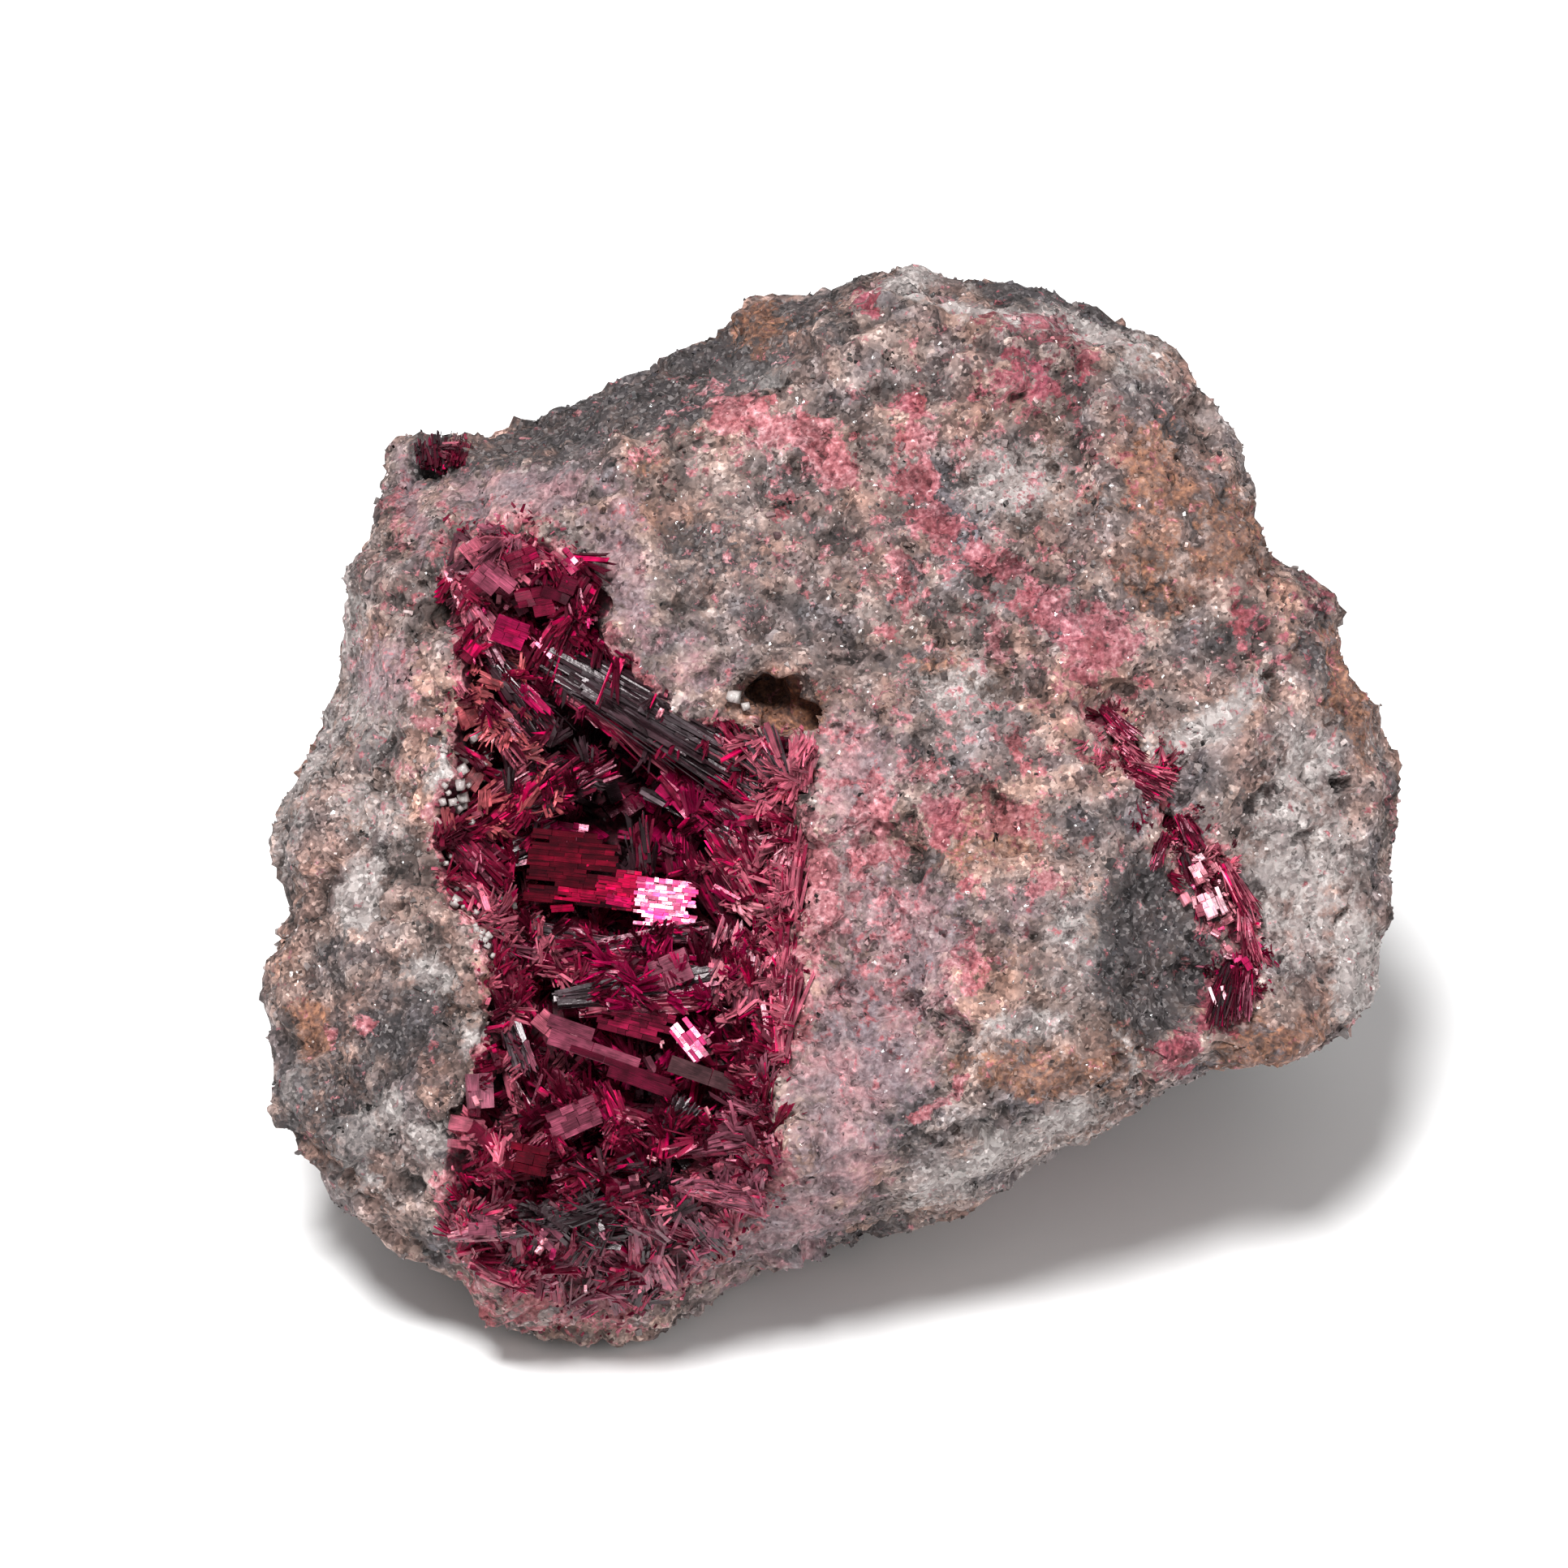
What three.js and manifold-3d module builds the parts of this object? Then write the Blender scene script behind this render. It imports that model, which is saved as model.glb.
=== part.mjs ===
// A hand-sized block of grey carbonate and quartz rock, broken on every side, that carries erythrite.
// The crimson blades fill a long vug on the left of the broad face and a narrow fissure on its
// right. Millimetres, +Z up; the block rests on a flat base.
//
// The block is laid out in a sight frame: right, up and toward, square on to an eye that looks down
// on the broad face. Its middle, the heart, is a point inside the rock.

import * as THREE from "three";
import { mergeVertices } from "three/addons/utils/BufferGeometryUtils.js";
import Module from "manifold-3d";

const wasm = await Module();
wasm.setup();

// The sight frame
const SIGHT_RISE = THREE.MathUtils.degToRad(36); // the eye's height above the horizon
const SIGHT_DISTANCE = 680; // from the eye to the heart
const HEART_HEIGHT = 26.3; // of the heart above the surface that the block rests on
const RIGHT = new THREE.Vector3(1, 0, 0);
const UP = new THREE.Vector3(0, Math.sin(SIGHT_RISE), Math.cos(SIGHT_RISE));
const TOWARD = new THREE.Vector3(0, -Math.cos(SIGHT_RISE), Math.sin(SIGHT_RISE));

// The broad face
const BROAD_LEVEL = 26; // how far it stands in front of the heart
const BROAD_LEAN = 0.22; // it falls back by this much for each millimetre up
const EDGE_SOFTNESS = 0.45; // the radius-like blunting where two faces meet

// The rim, where the front of the block turns into its back
const RIM_STEEPNESS = 5;
const RIM_SHARE = 0.42; // the rim's place between the front face (0) and the back face (1)
const RIM_WANDER = 0.16;

// Mesh fineness
const FRONT_RINGS = 24;
const MATRIX_TOLERANCE = 0.15;
const CRUST_TOLERANCE = 0.2;

// Crusts
const CRUST_GAP = 0.7; // between a crust and the rock under it, measured toward the eye
const CRUST_ROOT = 2; // how deep a crust is made before the rock is cut out of it
const BLADE_ROOT = 0.8; // how deep a blade reaches below the top of the rock under it
const LARGEST_FIRST = (a, b) => b.volume() - a.volume();

// The block's outline as the eye sees it: right and up from the heart, anticlockwise from the right.
const OUTLINE = [
  [44.9, 0.9], [43.8, 6.0], [43.3, 8.5], [41.8, 9.7], [40.1, 12.4], [40.4, 15.3], [39.3, 17.3],
  [37.4, 18.4], [35.3, 19.4], [33.1, 24.7], [31.8, 29.3], [27.9, 32.8], [26.5, 35.1], [26.3, 36.5],
  [24.7, 37.2], [18.6, 39.7], [14.7, 41.0], [11.6, 41.5], [8.2, 41.9], [6.2, 42.9], [2.6, 41.3],
  [-3.3, 39.7], [-6.2, 39.4], [-8.3, 37.9], [-8.9, 36.9], [-12.4, 35.7], [-18.9, 32.3],
  [-24.2, 29.9], [-29.2, 28.7], [-32.8, 29.0], [-34.6, 29.0], [-35.6, 27.8], [-36.3, 25.4],
  [-36.2, 21.3], [-38.5, 18.7], [-38.7, 16.5], [-39.1, 12.4], [-38.8, 9.2], [-41.0, 4.8],
  [-43.9, -1.1], [-44.5, -3.0], [-43.5, -6.7], [-42.9, -9.1], [-44.5, -12.8], [-44.8, -18.3],
  [-44.2, -20.2], [-44.9, -23.8], [-43.8, -26.0], [-40.3, -30.0], [-38.9, -31.8], [-34.6, -35.3],
  [-29.7, -37.9], [-26.7, -41.0], [-23.9, -42.1], [-17.9, -43.0], [-13.2, -42.1], [-9.8, -39.3],
  [-3.7, -36.7], [1.3, -35.3], [7.6, -33.1], [12.8, -31.1], [17.2, -27.9], [22.7, -25.4],
  [23.7, -23.9], [29.4, -21.3], [32.4, -20.8], [35.6, -20.8], [38.0, -20.1], [40.2, -18.0],
  [42.1, -17.1], [42.9, -14.3], [42.7, -11.5], [44.1, -8.1], [43.8, -4.4], [44.6, -1.2],
];

// Faces broken off the broad face. Each starts `start` mm out from the heart, toward `heading`
// degrees (0 right, 90 up), and falls away by `fall` mm for each millimetre further out.
const FRONT_FACES = [
  { name: "left flank", heading: 178, start: 28.5, fall: 0.72 },
  { name: "lower left flank", heading: 222, start: 38, fall: 0.85 },
  { name: "front foot", heading: 268, start: 36, fall: 1.5 },
  { name: "lower right edge", heading: 294, start: 28.6, fall: 2 },
  { name: "right foot", heading: 285, start: 27, fall: 2 },
  { name: "grey right flank", heading: 348, start: 27.5, fall: 0.62 },
  { name: "brown right flank", heading: 28, start: 36.5, fall: 1.1 },
  { name: "upper right edge", heading: 39, start: 39.5, fall: 1.3 },
  { name: "top edge", heading: 79, start: 40.1, fall: 2.6 },
  { name: "upper left band", heading: 122.5, start: 31.4, fall: 2.1 },
  { name: "upper left corner", heading: 158, start: 36.5, fall: 1.2 },
];

// Faces on the hidden side: the way each looks (azimuth 0 toward -Y, 90 toward +X; rise above the
// horizon) and its distance from the heart.
const BACK_FACES = [
  { name: "back", azimuth: 183, rise: 8, reach: 31 },
  { name: "upper back", azimuth: 172, rise: 42, reach: 42 },
  { name: "left back", azimuth: 236, rise: 14, reach: 41 },
  { name: "right back", azimuth: 128, rise: -4, reach: 35 },
  { name: "upper right back", azimuth: 122, rise: 14, reach: 38.5 },
  { name: "left side", azimuth: 262, rise: -22, reach: 40.5 },
  { name: "right side", azimuth: 92, rise: -24, reach: 41.5 },
  { name: "back foot", azimuth: 190, rise: -38, reach: 36 },
  { name: "left foot", azimuth: 286, rise: -52, reach: 41.5 },
  { name: "right foot", azimuth: 64, rise: -55, reach: 33.5 },
];
const BACK_SOFTNESS = 0.8;
const LEAST_THICKNESS = 4; // between the front and the back, along a line of sight

// The vug's edge on the broad face, right and up from the heart, anticlockwise from the right.
const VUG_CENTRE = [-16.5, -7.1];
const VUG_EDGE = [
  [-2.4, -0.7], [-3.0, 5.7], [-7.8, 5.4], [-12.6, 7.0], [-18.4, 12.8], [-19.7, 19.2], [-24.2, 22.4],
  [-29.9, 21.7], [-30.9, 18.5], [-29.9, 12.1], [-29.3, 1.9], [-31.9, -1.3], [-29.9, -7.8],
  [-27.4, -10.3], [-27.1, -16.1], [-27.6, -21.6], [-30.9, -29.6], [-29.3, -36.6], [-24.8, -40.1],
  [-19.7, -41.2], [-15.2, -41.1], [-11.3, -38.0], [-6.2, -32.8], [-3.3, -28.9], [-4.9, -22.8],
  [-3.6, -19.3], [-2.8, -10.3],
];
const VUG_DEPTHS = [
  [24, 2.5], [14, 5], [6, 9], [-1, 12], [-12, 10.5], [-19, 8], [-25, 5], [-33, 3.6], [-42, 2.6],
];
const VUG_WALL = [0.74, 1.04]; // the wall rises between these shares of the way out to the edge

// Smaller hollows: where, how large, how they are turned and how deep.
const HOLLOWS = [
  { name: "rim dish", at: [3, -14], size: [12, 22], turn: 8, depth: 3.4, soft: true },
  { name: "grey flank scoop", at: [36, -4], size: [10, 15], turn: 10, depth: 2.2, soft: true },
  { name: "dark scoop", at: [26.2, -11.5], size: [4.2, 7.6], turn: 12, depth: 4, soft: false },
  { name: "brown pocket", at: [-4.9, 7.9], size: [3.4, 2.2], turn: -18, depth: 5.5, soft: false },
  { name: "pin hole", at: [-30.9, 15.0], size: [1.7, 1.9], turn: 0, depth: 4, soft: false },
  { name: "corner pocket", at: [-31.4, 25.6], size: [2.8, 1.9], turn: -12, depth: 2.2, soft: false },
  { name: "slit", at: [4.2, -4.6], size: [1.0, 2.4], turn: 12, depth: 2, soft: false },
];

// The fissure's line on the right, and its half width and depth.
const FISSURE_LINE = [
  [22.0, 6.6], [24.2, 3.0], [25.8, -0.1], [29.0, -4.6], [31.6, -9.7], [32.4, -15.8],
];
const FISSURE_HALF_WIDTH = 2.7;
const FISSURE_DEPTH = 3.6;

// Unevenness of the broken rock: the size of the lumps and how high they stand.
const FRONT_LUMPS = [
  { size: 13, height: 1.1 },
  { size: 5.5, height: 0.75 },
  { size: 2.6, height: 0.45 },
];
const BACK_LUMPS = [
  { size: 16, height: 1.6 },
  { size: 7, height: 1.1 },
  { size: 3, height: 0.5 },
];
const FACE_WANDER = { size: 9, height: 1.6 }; // how far the edges between faces stray

const FISSURE_EDGE = [
  [34.8, -15.8], [34.0, -9.0], [31.2, -3.2], [28.1, 1.2], [26.5, 4.4], [24.3, 8.0], [21.0, 8.3],
  [19.8, 5.3], [21.9, 1.7], [23.6, -1.5], [26.8, -6.0], [28.6, -10.4], [30.0, -15.8], [32.4, -18.0],
];

// The layers that the crystals grow from.
const VUG_LAYER = { rings: 7, centre: VUG_CENTRE, edge: VUG_EDGE, thickness: 1.4 };
const FISSURE_LAYER = { rings: 4, centre: [27.9, -3.6], edge: FISSURE_EDGE, thickness: 1.1 };

// Erythrite sprays in the vug. Each stands at `at`, runs toward `heading` in the sight plane, rises
// by `pitch` toward the eye, and is a fan of `blades` flat blades. `lift` raises it off the crust.
const VUG_SPRAYS = [
  { name: "dark beam", at: [-22.4, 11.4], heading: -30, pitch: 0, length: 21.5, width: 3.2, thick: 2.2, blades: 3, fan: 9, lift: 5.5 },
  { name: "crimson sheaf", at: [-29.2, -2.2], heading: 21, pitch: 5, length: 14.5, width: 2.6, thick: 1.6, blades: 3, fan: 14, lift: 3 },
  { name: "standing needles", at: [-14.9, -7.5], heading: 98, pitch: 12, length: 6.5, width: 1.0, thick: 0.8, blades: 2, fan: 10, lift: 1 },
  { name: "magenta blocks", at: [-12.8, 2.2], heading: -42, pitch: 15, length: 5.6, width: 2.2, thick: 2.0, blades: 2, fan: 20, lift: 1.5 },
  { name: "right sheaf", at: [-5.2, -9.5], heading: 112, pitch: 18, length: 8.5, width: 1.5, thick: 1.2, blades: 3, fan: 26, lift: 1.5 },
  { name: "rim fringe", at: [-4.4, -20.5], heading: 86, pitch: 8, length: 12, width: 1.5, thick: 1.0, blades: 2, fan: 8, lift: 1.5 },
  { name: "upper rim fringe", at: [-4.0, -9.8], heading: 88, pitch: 10, length: 12, width: 1.5, thick: 1.0, blades: 2, fan: 8, lift: 2.2 },
  { name: "corner fan", at: [-3.4, 0.4], heading: 124, pitch: 12, length: 6.4, width: 1.6, thick: 1.2, blades: 3, fan: 40, lift: 2.5 },
  { name: "maroon beam", at: [-19.6, 17.2], heading: -117, pitch: 4, length: 8.2, width: 1.7, thick: 1.6, blades: 2, fan: 9, lift: 1.6 },
  { name: "mauve fan", at: [-30.4, 19.2], heading: -54, pitch: 4, length: 9.6, width: 1.9, thick: 1.0, blades: 3, fan: 22, lift: 0.8 },
  { name: "left blades", at: [-27.0, 11.0], heading: -56, pitch: 6, length: 9.0, width: 1.4, thick: 1.2, blades: 3, fan: 20, lift: 2.2 },
  { name: "glowing plate", at: [-24.2, -6.2], heading: -4, pitch: 6, length: 8.4, width: 5.8, thick: 0.9, blades: 1, fan: 0, lift: 1.0 },
  { name: "bright plate", at: [-16.6, -8.2], heading: -6, pitch: -12, length: 5.8, width: 3.9, thick: 0.9, blades: 1, fan: 0, lift: 2.4 },
  { name: "arched blade", at: [-24.8, -10.2], heading: -2, pitch: 4, length: 14.6, width: 1.3, thick: 0.9, blades: 1, fan: 0, lift: 3.2 },
  { name: "crimson fan", at: [-24.9, -11.6], heading: -8, pitch: 3, length: 14.8, width: 1.7, thick: 1.0, blades: 3, fan: 12, lift: 1.8 },
  { name: "fibrous blade", at: [-21.0, -15.2], heading: 5, pitch: 4, length: 14.0, width: 1.8, thick: 1.0, blades: 2, fan: 8, lift: 2.6 },
  { name: "mauve facet", at: [-14.4, -13.2], heading: 10, pitch: 22, length: 3.8, width: 3.0, thick: 1.2, blades: 1, fan: 0, lift: 2.4 },
  { name: "long plate", at: [-21.8, -18.2], heading: -18, pitch: 4, length: 16.2, width: 3.2, thick: 1.1, blades: 1, fan: 0, lift: 3.0 },
  { name: "upper long plate", at: [-18.4, -16.9], heading: -16, pitch: -10, length: 9.0, width: 3.4, thick: 1.0, blades: 1, fan: 0, lift: 2.0 },
  { name: "left blade", at: [-26.3, -14.8], heading: -66, pitch: 10, length: 7.2, width: 1.6, thick: 0.9, blades: 2, fan: 14, lift: 2.2 },
  { name: "upper left ray", at: [-14.6, -28.6], heading: 123, pitch: 14, length: 8.2, width: 2.2, thick: 1.0, blades: 3, fan: 34, lift: 0.5 },
  { name: "upper right ray", at: [-14.2, -28.2], heading: 48, pitch: 18, length: 6.6, width: 1.9, thick: 1.0, blades: 3, fan: 46, lift: 0.5 },
  { name: "right rays", at: [-13.6, -29.2], heading: 4, pitch: 0, length: 9.4, width: 1.9, thick: 0.9, blades: 3, fan: 50, lift: 0.5 },
  { name: "lower rays", at: [-14.2, -29.8], heading: -84, pitch: -8, length: 7.0, width: 2.0, thick: 0.9, blades: 4, fan: 78, lift: 0.4 },
  { name: "left rays", at: [-14.8, -29.2], heading: 188, pitch: 12, length: 6.2, width: 1.8, thick: 1.0, blades: 3, fan: 44, lift: 0.6 },
  { name: "dark left blades", at: [-25.4, -33.8], heading: 18, pitch: 8, length: 7.8, width: 1.4, thick: 0.9, blades: 3, fan: 26, lift: 0.6 },
  { name: "red left blades", at: [-27.6, -29.0], heading: -8, pitch: 8, length: 6.4, width: 1.8, thick: 1.0, blades: 3, fan: 40, lift: 0.4 },
];

const FISSURE_SPRAYS = [
  { name: "top fan", at: [22.4, 6.0], heading: -52, pitch: 20, length: 4.2, width: 1.3, thick: 0.8, blades: 3, fan: 40, lift: 0.2 },
  { name: "upper blades", at: [24.0, 2.8], heading: -20, pitch: 20, length: 4.4, width: 1.2, thick: 0.8, blades: 3, fan: 46, lift: 0.2 },
  { name: "middle blades", at: [28.6, -3.0], heading: 214, pitch: 24, length: 4.0, width: 1.2, thick: 0.8, blades: 3, fan: 50, lift: 0.2 },
  { name: "glinting plates", at: [29.2, -5.2], heading: -58, pitch: 14, length: 5.6, width: 2.4, thick: 0.9, blades: 2, fan: 24, lift: 0.4 },
  { name: "lower blades", at: [32.2, -10.4], heading: -100, pitch: 14, length: 5.2, width: 1.4, thick: 0.8, blades: 3, fan: 44, lift: 0.3 },
];

const { degToRad, lerp, smoothstep } = THREE.MathUtils;

// A point given in the sight frame, as the eye sees it: lines of sight meet at the eye.
function place(right, up, toward) {
  const narrowing = 1 - toward / SIGHT_DISTANCE;
  return new THREE.Vector3(0, 0, HEART_HEIGHT)
    .addScaledVector(RIGHT, right * narrowing)
    .addScaledVector(UP, up * narrowing)
    .addScaledVector(TOWARD, toward);
}

// A repeatable number from 0 to 1 for a point of the whole-number lattice.
function latticeValue(i, j, k) {
  let h = Math.imul(i, 374761393) ^ Math.imul(j, 668265263) ^ Math.imul(k, 2147483647);
  h = Math.imul(h ^ (h >>> 13), 1274126177);
  return ((h ^ (h >>> 16)) >>> 0) / 4294967295;
}

// Smooth noise from -1 to 1: lattice values blended across each cell.
function noise(x, y, z) {
  const [i, j, k] = [Math.floor(x), Math.floor(y), Math.floor(z)];
  const ease = (t) => t * t * (3 - 2 * t);
  const [fx, fy, fz] = [ease(x - i), ease(y - j), ease(z - k)];
  const alongX = (dj, dk) => lerp(latticeValue(i, j + dj, k + dk), latticeValue(i + 1, j + dj, k + dk), fx);
  return 2 * lerp(lerp(alongX(0, 0), alongX(1, 0), fy), lerp(alongX(0, 1), alongX(1, 1), fy), fz) - 1;
}

function lumpiness(right, up, layers, seed) {
  return layers.reduce(
    (sum, { size, height }, n) => sum + height * noise(right / size, up / size, seed + 7.3 * n),
    0,
  );
}

// The largest of several numbers, blended where they are close.
function softMax(values, softness) {
  const top = Math.max(...values);
  return top + softness * Math.log(values.reduce((sum, v) => sum + Math.exp((v - top) / softness), 0));
}

// How far a closed edge lies from its centre, for any angle: straight between its points.
function edgeReach(points, [cx, cy]) {
  const spokes = points
    .map(([x, y]) => ({ angle: Math.atan2(y - cy, x - cx), reach: Math.hypot(x - cx, y - cy) }))
    .sort((a, b) => a.angle - b.angle);
  const turn = 2 * Math.PI;
  const first = { angle: spokes[0].angle + turn, reach: spokes[0].reach };
  const last = { angle: spokes.at(-1).angle - turn, reach: spokes.at(-1).reach };
  const closed = [last, ...spokes, first];
  return (angle) => {
    const wrapped = Math.atan2(Math.sin(angle), Math.cos(angle));
    const n = closed.findIndex((s) => s.angle > wrapped);
    const [a, b] = [closed[n - 1], closed[n]];
    return lerp(a.reach, b.reach, (wrapped - a.angle) / (b.angle - a.angle));
  };
}

// A closed edge as a walk: the point that lies `turn` of the way round (0 to 1).
function edgeWalk(points) {
  const curve = new THREE.CurvePath();
  points.forEach((point, n) => {
    const next = points[(n + 1) % points.length];
    curve.add(new THREE.LineCurve(new THREE.Vector2(...point), new THREE.Vector2(...next)));
  });
  return (turn) => curve.getPointAt(turn % 1);
}

// A value read off a list of [place, value] pairs in falling order of place.
function readOff(pairs, at) {
  if (at >= pairs[0][0]) return pairs[0][1];
  const n = pairs.findIndex(([p]) => p <= at);
  if (n < 0) return pairs.at(-1)[1];
  const [[p0, v0], [p1, v1]] = [pairs[n - 1], pairs[n]];
  return lerp(v0, v1, (p0 - at) / (p0 - p1));
}

const outlineWalk = edgeWalk(OUTLINE);
const vugReach = edgeReach(VUG_EDGE, VUG_CENTRE);

// The share of the way from the vug's centre to its edge.
function vugShare(right, up) {
  const [dx, dy] = [right - VUG_CENTRE[0], up - VUG_CENTRE[1]];
  return Math.hypot(dx, dy) / vugReach(Math.atan2(dy, dx));
}

function vugDepth(right, up) {
  return readOff(VUG_DEPTHS, up) * (1 - smoothstep(vugShare(right, up), ...VUG_WALL));
}

function hollowDepth(right, up, { at, size, turn, depth, soft }) {
  const [dx, dy] = [right - at[0], up - at[1]];
  const [c, s] = [Math.cos(degToRad(turn)), Math.sin(degToRad(turn))];
  const share = Math.hypot((dx * c + dy * s) / size[0], (dy * c - dx * s) / size[1]);
  return depth * (soft ? 1 - smoothstep(share, 0, 1) : 1 - smoothstep(share, 0.55, 1.1));
}

// The distance from a point to the fissure's line.
function fissureDistance(right, up) {
  const p = new THREE.Vector2(right, up);
  const legs = FISSURE_LINE.slice(1).map((end, n) => {
    const [a, b] = [new THREE.Vector2(...FISSURE_LINE[n]), new THREE.Vector2(...end)];
    const along = b.clone().sub(a);
    const t = THREE.MathUtils.clamp(p.clone().sub(a).dot(along) / along.lengthSq(), 0, 1);
    return a.addScaledVector(along, t).distanceTo(p);
  });
  return Math.min(...legs);
}

function fissureDepth(right, up) {
  const share = fissureDistance(right, up) / FISSURE_HALF_WIDTH;
  return FISSURE_DEPTH * (1 - smoothstep(share, 0.4, 1.15));
}

// How far the front of the rock stands toward the eye.
function frontSurface(right, up) {
  const { size, height } = FACE_WANDER;
  const x = right + height * noise(right / size, up / size, 11.5);
  const y = up + height * noise(right / size, up / size, 23.5);
  const falls = FRONT_FACES.map(
    ({ heading, start, fall }) => fall * (x * Math.cos(degToRad(heading)) + y * Math.sin(degToRad(heading)) - start),
  );
  const hollows = HOLLOWS.reduce((sum, hollow) => sum + hollowDepth(right, up, hollow), 0);
  return (
    BROAD_LEVEL - BROAD_LEAN * up - softMax([0, ...falls], EDGE_SOFTNESS)
    + lumpiness(right, up, FRONT_LUMPS, 3.1) - hollows - vugDepth(right, up) - fissureDepth(right, up)
  );
}

// Where a line of sight meets a flat face that looks along `normal` and lies `reach` from the heart.
function faceOnSightLine(right, up, normal, reach) {
  const across = normal.dot(RIGHT) * right + normal.dot(UP) * up;
  return (reach - across) / (normal.dot(TOWARD) - across / SIGHT_DISTANCE);
}

function lookingTo(azimuth, rise) {
  const [a, r] = [degToRad(azimuth), degToRad(rise)];
  return new THREE.Vector3(Math.sin(a) * Math.cos(r), -Math.cos(a) * Math.cos(r), Math.sin(r));
}

// How far the hidden side stands toward the eye. The base cuts it off flat.
function backSurface(right, up) {
  const depths = BACK_FACES.map(({ azimuth, rise, reach }) =>
    faceOnSightLine(right, up, lookingTo(azimuth, rise), reach),
  );
  const rough = softMax(depths, BACK_SOFTNESS) + lumpiness(right, up, BACK_LUMPS, 41.7);
  const base = faceOnSightLine(right, up, new THREE.Vector3(0, 0, -1), HEART_HEIGHT);
  return Math.max(Math.min(rough, frontSurface(right, up) - LEAST_THICKNESS), base);
}

function rimToward({ x, y }) {
  const share = RIM_SHARE + RIM_WANDER * noise(x / 18, y / 18, 5.5);
  return lerp(frontSurface(x, y), backSurface(x, y), share);
}

// A disc of rings: ring n holds 6n points, so that all its triangles are about the same size.
function discPoints(rings) {
  const points = [{ share: 0, turn: 0 }];
  for (let n = 1; n <= rings; n++)
    for (let m = 0; m < 6 * n; m++) points.push({ share: n / rings, turn: m / (6 * n) });
  return points;
}

function discTriangles(rings) {
  const start = (n) => (n === 0 ? 0 : 1 + 3 * n * (n - 1));
  const triangles = [];
  for (let n = 0; n < rings; n++)
    for (let side = 0; side < 6; side++) {
      const inner = (m) => start(n) + (n === 0 ? 0 : (side * n + m) % (6 * n));
      const outer = (m) => start(n + 1) + ((side * (n + 1) + m) % (6 * (n + 1)));
      for (let m = 0; m <= n; m++) {
        triangles.push([inner(m), outer(m), outer(m + 1)]);
        if (m < n) triangles.push([inner(m), outer(m + 1), inner(m + 1)]);
      }
    }
  return triangles;
}

// A closed solid between a front sheet and a back sheet that share the points of their last ring.
function sheetSolid(rings, frontPoint, backPoint) {
  const disc = discPoints(rings);
  const inside = disc.length - 6 * rings;
  const points = [...disc.map(frontPoint), ...disc.slice(0, inside).map(backPoint)];
  const behind = (n) => (n < inside ? disc.length + n : n);
  const front = discTriangles(rings);
  const back = front.map(([a, b, c]) => [behind(a), behind(c), behind(b)]);
  return new wasm.Manifold(
    new wasm.Mesh({
      numProp: 3,
      vertProperties: new Float32Array(points.flatMap((p) => [p.x, p.y, p.z])),
      triVerts: new Uint32Array([...front, ...back].flat()),
    }),
  );
}

// The rock. `raise` moves its front toward the eye, for cutting what lies on it.
function rockSolid(raise = 0) {
  const sheetPoint = (surface, sign) => ({ share, turn }) => {
    const edge = outlineWalk(turn);
    const [right, up] = [share * edge.x, share * edge.y];
    const rim = rimToward(edge);
    if (share === 1) return place(right, up, rim);
    const limit = rim + sign * RIM_STEEPNESS * (1 - share) * edge.length();
    const toward = surface(right, up);
    return place(right, up, sign > 0 ? Math.min(toward, limit) + raise : Math.max(toward, limit));
  };
  return sheetSolid(FRONT_RINGS, sheetPoint(frontSurface, 1), sheetPoint(backSurface, -1));
}

// A flat blade with a slanted chisel end, its root at the origin, its length along +Y. It reaches
// down to `foot` below its middle, where it grows from the crust.
function bladeGeometry(length, width, thick, foot) {
  const outline = new THREE.Shape([
    new THREE.Vector2(-0.4 * width, 0),
    new THREE.Vector2(0.4 * width, 0),
    new THREE.Vector2(0.5 * width, length - 0.7 * width),
    new THREE.Vector2(-0.4 * width, length),
  ]);
  return new THREE.ExtrudeGeometry(outline, { depth: thick / 2 + foot, bevelEnabled: false }).translate(0, 0, -foot);
}

function solidOf(geometry) {
  const bare = geometry.clone();
  bare.deleteAttribute("normal");
  bare.deleteAttribute("uv");
  const merged = mergeVertices(bare, 1e-4);
  return new wasm.Manifold(
    new wasm.Mesh({
      numProp: 3,
      vertProperties: merged.getAttribute("position").array,
      triVerts: new Uint32Array(merged.index.array),
    }),
  );
}

// The blades of one spray, side by side at the root and fanned out toward their ends.
function spraySolids({ at, heading, pitch, length, width, thick, blades, fan, lift }) {
  return Array.from({ length: blades }, (_, n) => {
    const side = blades === 1 ? 0 : n / (blades - 1) - 0.5;
    const turn = degToRad(heading + side * fan);
    const climb = degToRad(pitch + 6 * ((n % 2) - 0.5));
    const flat = RIGHT.clone().multiplyScalar(Math.cos(turn)).addScaledVector(UP, Math.sin(turn));
    const along = flat.multiplyScalar(Math.cos(climb)).addScaledVector(TOWARD, Math.sin(climb));
    const across = along.clone().cross(TOWARD).normalize();
    const facing = across.clone().cross(along).normalize();
    const right = at[0] + 0.55 * width * side * blades * Math.sin(turn);
    const up = at[1] - 0.55 * width * side * blades * Math.cos(turn);
    const root = place(right, up, frontSurface(...at) + CRUST_GAP + lift + 0.3 * n);
    const pose = new THREE.Matrix4().makeBasis(across, along, facing).setPosition(root);
    const blade = bladeGeometry(length * (1 - 0.09 * (n % 3)), width, thick, lift + 0.3 * n + BLADE_ROOT);
    return solidOf(blade.applyMatrix4(pose));
  });
}

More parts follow.
